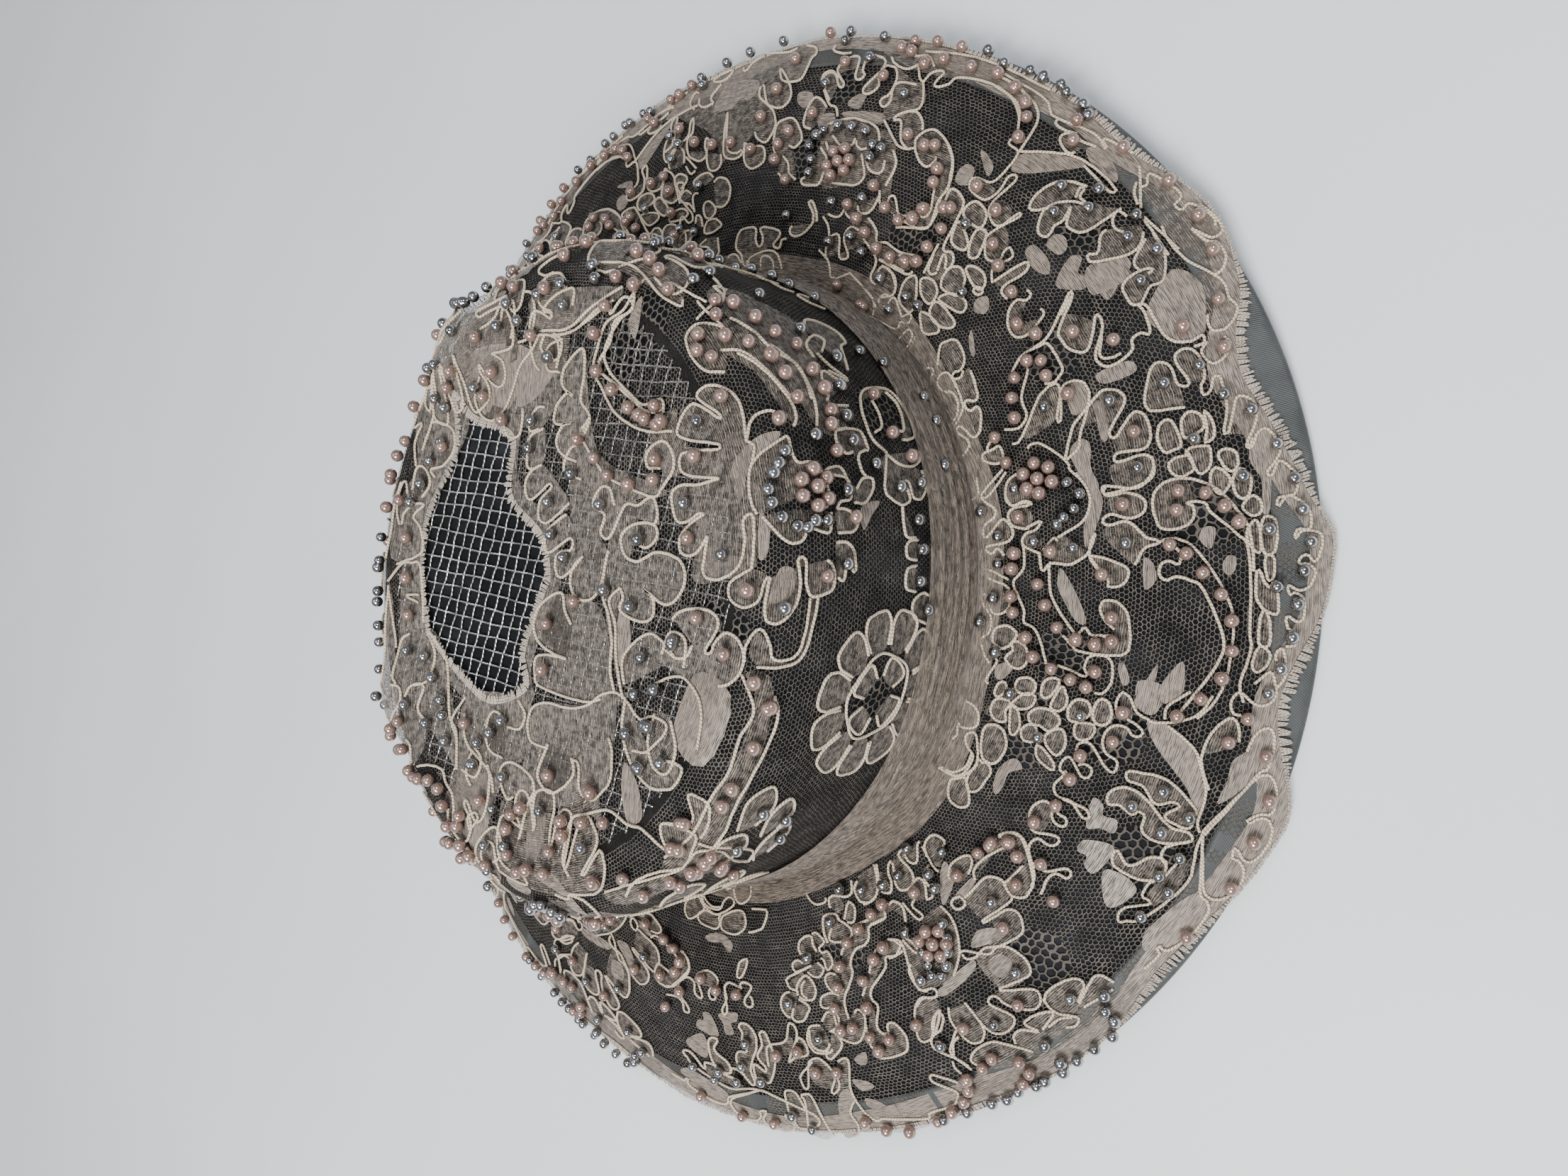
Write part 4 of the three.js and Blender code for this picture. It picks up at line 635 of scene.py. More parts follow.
tipCharted = {
    "cord": [
    [-244,-89,3,-14,35,-16,12,13,-6,12,22,13], [-169,-69,31,5,38,0,38,5,24,6,38,0,25,-3],
    [-175,-77,50,8,50,3,31,7,19,-10], [125,-25,6,13,13,6,25,-6,9,-10,22,-3,12,-5],
    [112,-103,-12,9,25,41,19,12,44,19,18,-6], [188,-109,0,21,12,19,19,16,31,12,31,10,31,-3,32,-7,18,-18,38,-10],
    [212,-100,19,3,-6,16,19,15,31,19,31,6,38,-12,18,-13,32,4], [-38,195,29,-17,3,-12,-6,-13,-88,-8],
    [-9,184,21,-31,38,3,19,10,19,-13,0,13,-13,12,-19,3], [-69,153,10,16,3,-16], [150,166,38,3,31,-8,-7,11,26,0],
    [175,159,56,-12,19,3,25,-3,0,12,31,3,6,-9], [284,89,-34,6,-25,-7,-9,-13,15,-13,31,-9,32,-6,25,-13,19,-6],
    [212,62,-21,-6,0,-12,21,-3,19,0], [338,28,0,-34,37,-41], [344,25,0,-28,25,-22,22,-28],
    [338,59,31,-3,25,3,-6,10,-26,3], [356,91,19,-13,25,-3,0,9,25,4,19,-13], [331,50,7,-12,31,-4,31,4,6,9],
    [-412,94,50,3,18,9,19,6,3,16,-6,16], [-319,94,57,3,24,9,76,6,31,13,19,13], [-200,147,12,-13,38,-6,25,6],
    [-259,131,21,13,38,-6,0,12,-19,6], [-269,97,25,6,38,-15], [-341,50,29,6,31,25,25,7,25,0], [-400,19,50,-7,22,-6],
    [-434,-34,22,6,56,-6,12,-13,13,-22,-13,-19,-3,-15,-28,-17], [-450,-78,25,-10,19,-18,6,-19], [-162,197,118,-3],
    [-144,178,94,16], [0,200,44,-6,44,-3,37,-7], [56,184,25,4,38,-4,6,-6,-19,-3], [-325,156,25,-3,12,6],
    ],
    "lobe": [
    [-262,-6,6,18,25,5,25,-5,9,-15,-3,-22,9,-19,16,-12,6,-13,-7,-11], [-181,-56,-7,18,13,44,19,6,22,0,6,-12,-3,-19],
    [-131,-20,6,14,13,15,24,7,26,-4,18,-12,6,-12,-24,-4,-19,-7], [19,-55,-44,5,-19,9,0,13,19,8,25,-2,16,-9],
    [16,-31,-22,12,-10,10,16,6,19,-3,6,-13,16,2,-22,22,25,4,18,-9,13,-12],
    [91,-14,-16,11,-13,12,7,8,25,0,18,-11,7,2,-19,14,-3,8,22,4,19,-6,9,-11], [147,17,-6,11,9,5,38,-2,12,-14],
    [200,22,-3,9,15,2,19,-8,0,-8], [150,-19,12,16,19,6,22,-6,3,-9,0,17,25,0,19,-11,-6,-5,18,11,26,-2,24,-17,-37,-3,
    -37,2,-26,-10,-34,8], [-269,-31,-19,-3,-18,6,-16,12,0,10,22,9,44,-9],
    [-272,-31,-3,-7,-37,-3,-10,-12,13,-9,21,-8,38,0,18,4], [-347,12,13,-6,25,3,15,16,0,13,-15,6,-22,-3,-16,-7,6,-6],
    [-288,42,7,14,19,6,24,-1,16,-5,-3,-9,-16,-5], [-241,38,0,-13,22,-5,19,8],
    [-176,-80,-36,2,-32,-5,-25,-9,-19,-14,0,-13,7,-9,25,-6,6,15,-12,7], [-156,-78,31,3,25,-9,16,-16,-16,-16,-12,-6],
    [-25,-69,-13,-3,-18,2,-13,-18,7,-12,24,0,13,9,-19,-21,19,-13,25,-2,19,8,6,19,-13,16,7,12,25,5,18,-11,0,-19,-18,-3,
    -13,9,7,10], [62,-97,13,-3,25,6,-12,13,0,12,-44,13,6,9,25,-3,13,12,24,-6,0,-9,-24,-6],
    [112,-103,26,-9,24,3,13,9,-13,12,-21,0,-3,-12], [131,141,13,6,6,-16,25,-12,31,3,13,19,0,6],
    [-200,166,12,6,32,1,25,-1,12,-10], [100,156,19,-9,19,3,12,9,-6,7,-32,3], [244,125,0,13,31,3,31,-3,-6,-13,-12,3],
    [331,138,7,-10,31,-3,19,9,-13,7,-31,-3], [-375,-119,25,3,19,-3,-13,-19,-37,7],
    [-331,-119,6,-19,37,0,-12,-12,-31,3,-19,6], [-475,56,25,13,25,-3,31,-16,-6,-9,-31,-3,-13,9],
    [-406,75,18,3,10,-9,-10,-3,-12,6], [-256,184,-6,-6,31,-16,25,0,3,10], [369,16,6,9,19,-13,6,-18,-25,0],
    [338,22,-19,3,-16,-9,-3,-10,25,-3,13,9],
    ],
    "toile": [
    [-259,12,59,-3,6,-47,19,-31,-75,0,-62,7,-7,21,50,10], [-100,9,56,-12,0,-35,-31,-18,-87,-10,-19,10,50,36],
    [16,-31,75,17,59,-5,-25,-34,-13,-50,-24,34,-38,22,-31,-8], [-356,25,94,-13,-7,-43,-53,-7,-28,32],
    [-200,169,194,9,0,-25,-94,-8,-25,-20,-137,-28,-57,-3,57,37], [0,194,88,-6,62,-22,81,6,75,-10,50,-24,38,-29,-38,
    -40,-81,25,-63,28,-62,9,-75,22,-63,0], [-400,94,81,0,113,-6,6,-69,-62,-7,-76,35,-37,3],
    [-288,194,76,3,174,-3,-162,-25,-62,-35,-63,16], [125,-25,53,25,134,-19,-100,-11,-62,-17,-38,-56,-12,9],
    [231,62,107,-34,-38,-28,-62,6,-38,19], [344,25,56,13,-9,-91,-35,28], [-175,-75,137,22,100,-6,26,-22,-163,15],
    ],
    "satin": [
    [-344,-88,38,8,44,-1,-26,-13,-43,-6], [-125,-66,75,-3,-12,-9,-63,-2], [231,88,94,6,-6,-56,-75,15,-25,19],
    [238,50,74,-12,-12,-32,-50,19], [-438,75,113,16,0,-29,-75,-6], [-438,12,88,-3,-6,-15,-56,3],
    ],
    "pearl": [
    [-453,89,8,-74,3,58,1,-165,2,80,0,17,11,78,2,-55,4,-174,5,32,11,-18,0,115,0,115,17,-69,3,54,4,-226,4,247,12,-79,2,
    -152,6,99,4,-21,0,160,5,-180,5,192,0,13,0,11,8,9,10,-290,18,82,2,223,2,-9,6,-174,12,195,14,-9,11,-12,15,-79,96,
    -83,59,160,7,-161,35,-27,18,193,65,4,48,29,13,-17,21,-256,6,-22,6,303,1,-260,7,255,13,-299,6,58,11,229,15,-212,8,
    200,11,-279,4,15,10,147,7,-131,27,17,3,137,25,-121,15,150,38,-146,13,125,9,64,15,-198,4,201,18,-224,35,144],
    ],
    "silver": [
    [-456,52,35,1,57,-7,48,-9,38,69,7,-38,5,-167,9,230,4,-77,9,154,4,-97,7,-69,1,112,10,36,1,-276,5,200,8,-219,24,313,
    1,-82,15,-217,15,228,7,21,8,46,21,-299,6,299,39,5,16,-3,5,-288,21,26,14,265,10,-2,18,-221,22,223,8,-295,2,86,44,
    -48,3,214,1,-161,28,149,11,-172,27,162,13,-116,15,104,25,-104,28,98,60,20,5,-14,45,-20,12,-64,5,101,9,-148,14,61,
    2,52,6,-85,9,-59,0,34,19,-27],
    ],
}
coarseSpots = {"brim": [(252, 22, 12), (262, 27, 8), (255, 45, 9), (244, 64, 9), (279, 62, 10), (312, 60, 9),
    (300, 35, 8), (327, 27, 9), (348, 70, 8),
                        (207, 27, 9), (229, 60, 9), (350, 42, 8), (30, 30, 10), (60, 55, 10), (90, 20, 10),
                            (130, 45, 10), (160, 25, 10)],
               "crown": [(253, 37, 7), (300, 30, 9), (309, 62, 9), (262, 90, 9), (330, 92, 12), (20, 40, 10),
                   (70, 60, 10), (120, 35, 10), (170, 55, 10)]}


# lays the charted work, also turned round the hat; only and within keep what lies between two angles
# and two heights, and warp moves what is near a rose out by some mm
def useCharted(chart, table, turned=0.0, only=(-999, 999), within=(-999, 999), warp=(0, 0, 0)):
    def read(flat):
        points = np.cumsum(np.reshape(flat, (-1, 2)), 0) / [5, 2.5]
        near = np.exp(-((points[:, 0] - warp[0]) * 2.4 / 24) ** 2 - ((points[:, 1] - warp[1]) / 24) ** 2)
        return [(p + turned, q + warp[2] * n) for (p, q), n in zip(points, near)]

    def wanted(points):
        middle = np.mean(points, 0)
        return only[0] <= middle[0] - turned < only[1] and within[0] < middle[1] < within[1]

    for kind in ("cord", "lobe", "petal", "toile", "satin"):
        for points in filter(wanted, map(read, table.get(kind, []))):
            if kind in ("cord", "lobe", "petal"):
                work["cord"].append((chart, points, kind == "petal", False))
            if kind != "cord":
                work["satin" if kind == "satin" else "toile"].append((chart, curve(points, True, 4)))
    for kind in ("pearl", "silver"):
        work[kind].extend((chart, *spot) for spot in read(table[kind][0]) if wanted([spot]))


# daisy of the crown's side: eleven lobes with slits, round a ring with four inner lobes
def makeDaisy(middle, petals=11, reach=24.0, slit=14.5, ring=12.0):
    wide = charts["crown"]["wide"](middle[1])
    at = lambda r, turn: (middle[0] + r * math.cos(turn) / wide, middle[1] + r * math.sin(turn))
    for k in range(petals):
        turns = [2 * math.pi * (k + t) / petals for t in (0.06, 0.04, 0.2, 0.5, 0.8, 0.96, 0.94)]
        lobe = [at(r, t) for r, t in zip((slit, reach * 0.84, reach * 0.98, reach, reach * 0.98, reach * 0.84, slit),
            turns)]
        work["cord"].append(("crown", lobe, False, False))
        work["toile"].append(("crown", curve(lobe + [at(ring, turns[3])], True, 4)))
    work["cord"].append(("crown", [at(ring + 0.5 * math.sin(5 * t), t) for t in np.linspace(0, 2 * math.pi, 24)[:-1]],
        True, False))
    for k in range(4):
        turns = [math.pi / 2 * k + 0.4 + t for t in (0, 0.15, 0.55, 1.0, 1.15)]
        lobe = [at(r, t) for r, t in zip((ring * 0.5, ring * 0.9, ring * 0.92, ring * 0.9, ring * 0.5), turns)]
        work["cord"].append(("crown", lobe, False, False))
        work["toile"].append(("crown", curve(lobe, True, 4)))


useCharted("brim", brimCharted)
useCharted("brim", brimCharted, 58, (314, 372.5), warp=(343, 41, -9.5))
useCharted("brim", brimCharted, -121, (190, 251))
useCharted("brim", brimCharted, -61, (190, 251), warp=(221, 39.3, -7.8))
useCharted("crown", crownCharted)
for turned in (126, 62, -126, 182):
    useCharted("crown", crownCharted, turned, (258, 322), (-9, 72))
for turned in (104, -102):
    useCharted("crown", crownCharted, turned, (249, 312), (75, 120))
useCharted("tip", tipCharted)
makeDaisy((253, 37))
makeDaisy((196, 38))



# node groups shared by the cloths
def socket(group, name, kind, way="INPUT", value=None):
    made = group.interface.new_socket(name=name, in_out=way, socket_type=kind)
    if value is not None:
        made.default_value = value
    return made


def startGroup(name, inputs, outputs):
    group = bpy.data.node_groups.new(name, "ShaderNodeTree")
    for label, kind, value in inputs:
        socket(group, label, kind, value=value)
    for label, kind in outputs:
        socket(group, label, kind, "OUTPUT")
    return group, group.nodes.new("NodeGroupInput"), group.nodes.new("NodeGroupOutput")


def put(tree, kind, operation=None, **values):
    made = tree.nodes.new(kind)
    if operation:
        made.operation = operation
    for key, value in values.items():
        if key[:2] == "in" and key[2:].isdigit():
            made.inputs[int(key[2:])].default_value = value
        else:
            setattr(made, key, value)
    return made


def wire(tree, *pairs):
    for source, target in zip(pairs[::2], pairs[1::2]):
        tree.links.new(source, target)


def doMath(tree, operation, a, b=None, c=None, clamp=False):
    made = put(tree, "ShaderNodeMath", operation, use_clamp=clamp)
    for k, value in enumerate((a, b, c)):
        if value is None:
            continue
        if isinstance(value, (int, float)):
            made.inputs[k].default_value = value
        else:
            tree.links.new(value, made.inputs[k])
    return made.outputs[0]


def doVector(tree, operation, a, b=None, out=0):
    made = put(tree, "ShaderNodeVectorMath", operation)
    for k, value in enumerate((a, b)):
        if value is None:
            continue
        if isinstance(value, tuple):
            made.inputs[k].default_value = value
        else:
            tree.links.new(value, made.inputs[k])
    return made.outputs[out]


def doRange(tree, value, low, high, toLow=0.0, toHigh=1.0, smooth=True):
    made = put(tree, "ShaderNodeMapRange", interpolation_type="SMOOTHSTEP" if smooth else "LINEAR")
    tree.links.new(value, made.inputs[0])
    for k, number in ((1, low), (2, high), (3, toLow), (4, toHigh)):
        if isinstance(number, (int, float)):
            made.inputs[k].default_value = number
        else:
            tree.links.new(number, made.inputs[k])
    return made.outputs[0]


# net of six-sided cells, as bobbin net has
def makeNetGroup():
    tree, start, end = startGroup("netCells", [("Place", "NodeSocketVector", None), ("Cell", "NodeSocketFloat", 1.4),
        ("Thread", "NodeSocketFloat", 0.12),
                                               ("Wander", "NodeSocketFloat", 0.25)],
                                                   [("Mask", "NodeSocketFloat"), ("Height", "NodeSocketFloat")])
    noise = put(tree, "ShaderNodeTexNoise", in2=0.22, in3=2.0)
    wire(tree, start.outputs["Place"], noise.inputs["Vector"])
    sway = put(tree, "ShaderNodeVectorMath", "SCALE")
    wire(tree, doVector(tree, "SUBTRACT", noise.outputs["Color"], (0.5, 0.5, 0.5)), sway.inputs[0],
        doMath(tree, "MULTIPLY", start.outputs["Wander"], 8.0), sway.inputs["Scale"])
    scaled = put(tree, "ShaderNodeVectorMath", "SCALE")
    wire(tree, doVector(tree, "ADD", start.outputs["Place"], sway.outputs[0]), scaled.inputs[0],
        doMath(tree, "DIVIDE", 1.0, start.outputs["Cell"]), scaled.inputs["Scale"])
    page = doVector(tree, "ADD", scaled.outputs[0], (400.0, 692.820323, 0.0))
    whole, half = (1.0, 1.7320508, 1.0), (0.5, 0.8660254, 0.5)
    first = doVector(tree, "SUBTRACT", doVector(tree, "MODULO", page, whole), half)
    second = doVector(tree, "SUBTRACT", doVector(tree, "MODULO", doVector(tree, "ADD", page, half), whole), half)
    nearer = doMath(tree, "LESS_THAN", doVector(tree, "LENGTH", first, out=1),
        doVector(tree, "LENGTH", second, out=1))
    mix = put(tree, "ShaderNodeMix", data_type="VECTOR")
    wire(tree, nearer, mix.inputs[0], second, mix.inputs[4], first, mix.inputs[5])
    away = doVector(tree, "ABSOLUTE", mix.outputs[1])
    split = put(tree, "ShaderNodeSeparateXYZ")
    wire(tree, away, split.inputs[0])
    slant = doMath(tree, "ADD", doMath(tree, "MULTIPLY", split.outputs[0], 0.5),
        doMath(tree, "MULTIPLY", split.outputs[1], 0.8660254))
    reach = doMath(tree, "MAXIMUM", split.outputs[0], slant)
    inner = doMath(tree, "SUBTRACT", 0.5, start.outputs["Thread"])
    mask = doRange(tree, reach, doMath(tree, "SUBTRACT", inner, 0.05), inner)
    wire(tree, mask, end.inputs["Mask"], doRange(tree, reach, inner, 0.5), end.inputs["Height"])
    return tree


# fine parallel threads that wander a little and differ in weight
def makeThreadGroup():
    tree, start, end = startGroup("threadLines", [("Place", "NodeSocketVector", None),
        ("Pitch", "NodeSocketFloat", 0.5), ("Wander", "NodeSocketFloat", 0.3)],
                                  [("Mask", "NodeSocketFloat"), ("Shade", "NodeSocketFloat")])
    noise = put(tree, "ShaderNodeTexNoise", in2=0.35, in3=2.0)
    wire(tree, start.outputs["Place"], noise.inputs["Vector"])
    split = put(tree, "ShaderNodeSeparateXYZ")
    wire(tree, start.outputs["Place"], split.inputs[0])
    bent = doMath(tree, "ADD", split.outputs[1], doMath(tree, "MULTIPLY",
        doMath(tree, "SUBTRACT", noise.outputs["Fac"], 0.5), doMath(tree, "MULTIPLY", start.outputs["Wander"], 8.0)))
    wave = doMath(tree, "SINE", doMath(tree, "DIVIDE", doMath(tree, "MULTIPLY", bent, 2 * math.pi),
        start.outputs["Pitch"]))
    patchy = put(tree, "ShaderNodeTexNoise", in2=0.9, in3=3.0)
    long = doVector(tree, "MULTIPLY", start.outputs["Place"], (0.35, 2.2, 1.0))
    wire(tree, long, patchy.inputs["Vector"])
    wire(tree, doRange(tree, wave, -0.7, 0.6), end.inputs["Mask"], doRange(tree, patchy.outputs["Fac"], 0.3, 0.7),
        end.inputs["Shade"])
    return tree


# dust and handling: slow changes of tone over a piece
def makeToneGroup():
    tree, start, end = startGroup("slowTone", [("Place", "NodeSocketVector", None),
        ("Scale", "NodeSocketFloat", 30.0), ("Dark", "NodeSocketColor", (0, 0, 0, 1)),
        ("Light", "NodeSocketColor", (1, 1, 1, 1))],
                                  [("Color", "NodeSocketColor"), ("Shade", "NodeSocketFloat")])
    noise = put(tree, "ShaderNodeTexNoise", in3=4.0, in4=0.6)
    wire(tree, start.outputs["Place"], noise.inputs["Vector"], start.outputs["Scale"], noise.inputs["Scale"])
    shade = doRange(tree, noise.outputs["Fac"], 0.32, 0.68)
    mix = put(tree, "ShaderNodeMix", data_type="RGBA")
    wire(tree, shade, mix.inputs[0], start.outputs["Dark"], mix.inputs[6], start.outputs["Light"], mix.inputs[7],
        mix.outputs[2], end.inputs["Color"], shade, end.inputs["Shade"])
    return tree


netCells, threadLines, slowTone = makeNetGroup(), makeThreadGroup(), makeToneGroup()


def startMaterial(name, **fixed):
    material = bpy.data.materials.new(name)
    material.use_nodes = True
    tree = material.node_tree
    shader = tree.nodes["Principled BSDF"]
    for label, value in fixed.items():
        shader.inputs[label.replace("_", " ")].default_value = value
    return material, tree, shader


def useGroup(tree, group, place, **values):
    made = put(tree, "ShaderNodeGroup", node_tree=group)
    tree.links.new(place, made.inputs["Place"])
    for key, value in values.items():
        made.inputs[key].default_value = value
    return made


def pageOf(tree):
    return put(tree, "ShaderNodeUVMap", uv_map="lacePage").outputs[0]


def bodyPlace(tree):
    return put(tree, "ShaderNodeTexCoord").outputs["Object"]


def bumpOf(tree, shader, height, distance, strength=1.0):
    bump = put(tree, "ShaderNodeBump")
    bump.inputs["Strength"].default_value, bump.inputs["Distance"].default_value = strength, distance
    wire(tree, height, bump.inputs["Height"], bump.outputs[0], shader.inputs["Normal"])


def blendOf(tree, factor, dark, light):
    mix = put(tree, "ShaderNodeMix", data_type="RGBA")
    wire(tree, factor, mix.inputs[0])
    for k, value in ((6, dark), (7, light)):
        if isinstance(value, tuple):
            mix.inputs[k].default_value = (*value, 1)
        else:
            tree.links.new(value, mix.inputs[k])
    return mix.outputs[2]


def toneOf(tree):
    return put(tree, "ShaderNodeAttribute", attribute_name="tone").outputs["Fac"]


# tulle ground of the lace: fine net, with coarser net where the tone attribute says so
laceLook = {"thread": (0.112, 0.096, 0.08), "threadDark": (0.05, 0.044, 0.038), "fineCell": 1.45, "coarseCell": 2.6}


def makeNetMaterial():
    material, tree, shader = startMaterial("tulleGround", Roughness=0.8, Specular_IOR_Level=0.25)
    page = pageOf(tree)
    squat = doVector(tree, "MULTIPLY", page, (1.0, 1.22, 1.0))
    fine = useGroup(tree, netCells, squat, Cell=laceLook["fineCell"], Thread=0.062, Wander=0.22)
    coarse = useGroup(tree, netCells, page, Cell=laceLook["coarseCell"], Thread=0.07, Wander=0.3)
    ground = put(tree, "ShaderNodeMix", data_type="FLOAT")
    wire(tree, doMath(tree, "GREATER_THAN", toneOf(tree), 0.5), ground.inputs[0], fine.outputs["Mask"],
        ground.inputs[2], coarse.outputs["Mask"], ground.inputs[3])
    tone = useGroup(tree, slowTone, page, Scale=0.12, Dark=(*laceLook["threadDark"], 1),
        Light=(*laceLook["thread"], 1))
    wire(tree, tone.outputs["Color"], shader.inputs["Base Color"],
        doRange(tree, ground.outputs[0], 0, 1, 0.0, 0.88, False), shader.inputs["Alpha"])
    bumpOf(tree, shader, ground.outputs[0], 0.0002)
    return material


# woven filling of the petals, see-through between its threads
def makeToileMaterial():
    material, tree, shader = startMaterial("toileFilling", Roughness=0.6, Sheen_Weight=0.35)
    page = pageOf(tree)
    lines = useGroup(tree, threadLines, page, Pitch=0.62, Wander=0.14)
    tone = useGroup(tree, slowTone, page, Scale=0.5, Dark=(0.06, 0.05, 0.04, 1), Light=(0.21, 0.17, 0.135, 1))
    glint = doRange(tree, doMath(tree, "MULTIPLY", lines.outputs["Shade"], lines.outputs["Mask"]), 0.55, 0.95)
    wire(tree, blendOf(tree, glint, tone.outputs["Color"], (0.43, 0.355, 0.285)), shader.inputs["Base Color"])
    cover = doMath(tree, "ADD", doMath(tree, "MULTIPLY", lines.outputs["Mask"], 0.38),
        doMath(tree, "MULTIPLY", tone.outputs["Shade"], 0.34))
    wire(tree, doMath(tree, "ADD", cover, 0.04, clamp=True), shader.inputs["Alpha"])
    bumpOf(tree, shader, lines.outputs["Mask"], 0.00018)
    return material


# satin stitch of leaves and of the small woven blocks; its lighter, glossier patches are partly thicker cover and
# partly painted sheen
def makeSatinMaterial():
    material, tree, shader = startMaterial("satinStitch", Roughness=0.38, Sheen_Weight=0.3)
    page = pageOf(tree)
    lines = useGroup(tree, threadLines, page, Pitch=0.5, Wander=0.1)
    tone = useGroup(tree, slowTone, page, Scale=0.35, Dark=(0.085, 0.068, 0.055, 1), Light=(0.25, 0.20, 0.16, 1))
    # partly painted sheen: patches lighten in colour as they turn glossier and more opaque
    wire(tree, blendOf(tree, lines.outputs["Shade"], tone.outputs["Color"], (0.37, 0.30, 0.24)),
        shader.inputs["Base Color"])
    wire(tree, doRange(tree, lines.outputs["Shade"], 0, 1, 0.55, 0.3), shader.inputs["Roughness"])
    cover = doMath(tree, "ADD", doMath(tree, "MULTIPLY", lines.outputs["Mask"], 0.5),
        doMath(tree, "MULTIPLY", lines.outputs["Shade"], 0.4))
    wire(tree, doMath(tree, "ADD", cover, 0.35, clamp=True), shader.inputs["Alpha"])
    bumpOf(tree, shader, lines.outputs["Mask"], 0.0003)
    return material


# cord whipped with a silky thread: the wraps run slantwise round it, and the grooves between them are painted dark as
# shade
def makeCordMaterial(name="whippedCord", dark=(0.27, 0.20, 0.14), light=(0.69, 0.57, 0.42), pitch=1.05):
    material, tree, shader = startMaterial(name, Roughness=0.5, Sheen_Weight=0.3)
    split = put(tree, "ShaderNodeSeparateXYZ")
    wire(tree, pageOf(tree), split.inputs[0])
    turns = doMath(tree, "ADD", doMath(tree, "DIVIDE", split.outputs[0], pitch), split.outputs[1])
    wave = doMath(tree, "ABSOLUTE", doMath(tree, "SINE", doMath(tree, "MULTIPLY", turns, math.pi)))
    wrapReliefAndGrooveShade = doRange(tree, wave, 0.0, 0.55)
    tone = useGroup(tree, slowTone, bodyPlace(tree), Scale=180.0,
        Dark=(light[0] * 0.8, light[1] * 0.78, light[2] * 0.74, 1), Light=(*light, 1))
    # painted shade: the grooves between the wraps take the dark colour, and the wraps' tops take the toned light
    # colour
    wire(tree, blendOf(tree, wrapReliefAndGrooveShade, dark, tone.outputs["Color"]), shader.inputs["Base Color"])
    bumpOf(tree, shader, wrapReliefAndGrooveShade, 0.00022)
    return material


def makePearlMaterial():
    material, tree, shader = startMaterial("rosePearl", Roughness=0.1, Metallic=0.6, Coat_Weight=1.0,
        Coat_Roughness=0.04)
    tone = useGroup(tree, slowTone, bodyPlace(tree), Scale=700.0, Dark=(0.30, 0.19, 0.155, 1),
        Light=(0.40, 0.27, 0.225, 1))
    # painted shade: the pearl's rim, where it turns away from the eye, is darkened toward (0.22, 0.155, 0.145)
    edge = put(tree, "ShaderNodeLayerWeight", in0=0.35)
    warm = blendOf(tree, toneOf(tree), (0.32, 0.205, 0.17), (0.46, 0.315, 0.265))
    mix = blendOf(tree, edge.outputs["Facing"], blendOf(tree, tone.outputs["Shade"], warm, tone.outputs["Color"]),
        (0.22, 0.155, 0.145))
    wire(tree, mix, shader.inputs["Base Color"])
    bumpOf(tree, shader, tone.outputs["Shade"], 0.00002, 0.3)
    return material


def makeSilverMaterial():
    material, tree, shader = startMaterial("silverBead", Roughness=0.09, Metallic=1.0)
    tone = useGroup(tree, slowTone, bodyPlace(tree), Scale=500.0, Dark=(0.20, 0.20, 0.20, 1),
        Light=(0.48, 0.48, 0.48, 1))
    wire(tree, blendOf(tree, toneOf(tree), tone.outputs["Color"], (0.42, 0.42, 0.43)), shader.inputs["Base Color"])
    wire(tree, doRange(tree, tone.outputs["Shade"], 0, 1, 0.07, 0.16), shader.inputs["Roughness"])
    return material


# dark cloth over the stiff form, laid in soft pleats whose hollows are painted darker as shade
def makeFormMaterial():
    material, tree, shader = startMaterial("formCloth", Roughness=0.9, Specular_IOR_Level=0.15)
    place = bodyPlace(tree)
    split = put(tree, "ShaderNodeSeparateXYZ")
    wire(tree, place, split.inputs[0])
    weave = doMath(tree, "MULTIPLY", doMath(tree, "SINE", doMath(tree, "MULTIPLY", split.outputs[0], 9000.0)),
        doMath(tree, "SINE", doMath(tree, "MULTIPLY", split.outputs[1], 9000.0)))
    pleatReliefAndShade = put(tree, "ShaderNodeTexNoise", in3=2.0)
    pleatReliefAndShade.inputs["Scale"].default_value = 16.0
    wire(tree, doVector(tree, "MULTIPLY", place, (6.0, 0.8, 1.0)), pleatReliefAndShade.inputs["Vector"])
    tone = useGroup(tree, slowTone, place, Scale=60.0, Dark=(0.006, 0.007, 0.009, 1), Light=(0.028, 0.030, 0.035, 1))
    # painted shade: where the pleats' bump is low the cloth takes the darker colour
    wire(tree, blendOf(tree, doRange(tree, pleatReliefAndShade.outputs["Fac"], 0.35, 0.65), (0.008, 0.009, 0.011),
        tone.outputs["Color"]), shader.inputs["Base Color"])
    bumpOf(tree, shader, doMath(tree, "ADD", doMath(tree, "MULTIPLY", pleatReliefAndShade.outputs["Fac"], 6.0), weave), 0.0004, 0.8)
    return material


# grey satin under sheer organza, with a fine twill whose raised lines are painted lighter as highlight
def makeSatinEdgeMaterial():
    material, tree, shader = startMaterial("greySatin", Roughness=0.46, Specular_IOR_Level=0.35)
    page = pageOf(tree)
    twill = doVector(tree, "DOT_PRODUCT", page, (0.8, 0.6, 0.0), out=1)
    line = doRange(tree, doMath(tree, "SINE", doMath(tree, "MULTIPLY", twill, 2 * math.pi / 0.55)), -0.6, 0.8)
    tone = useGroup(tree, slowTone, page, Scale=0.09, Dark=(0.034, 0.038, 0.039, 1), Light=(0.055, 0.060, 0.060, 1))
    # painted highlight: the twill's raised lines are mixed toward a lighter grey
    wire(tree, blendOf(tree, doMath(tree, "MULTIPLY", line, 0.3), tone.outputs["Color"], (0.085, 0.09, 0.09)),
        shader.inputs["Base Color"])
    bumpOf(tree, shader, line, 0.00008)
    return material


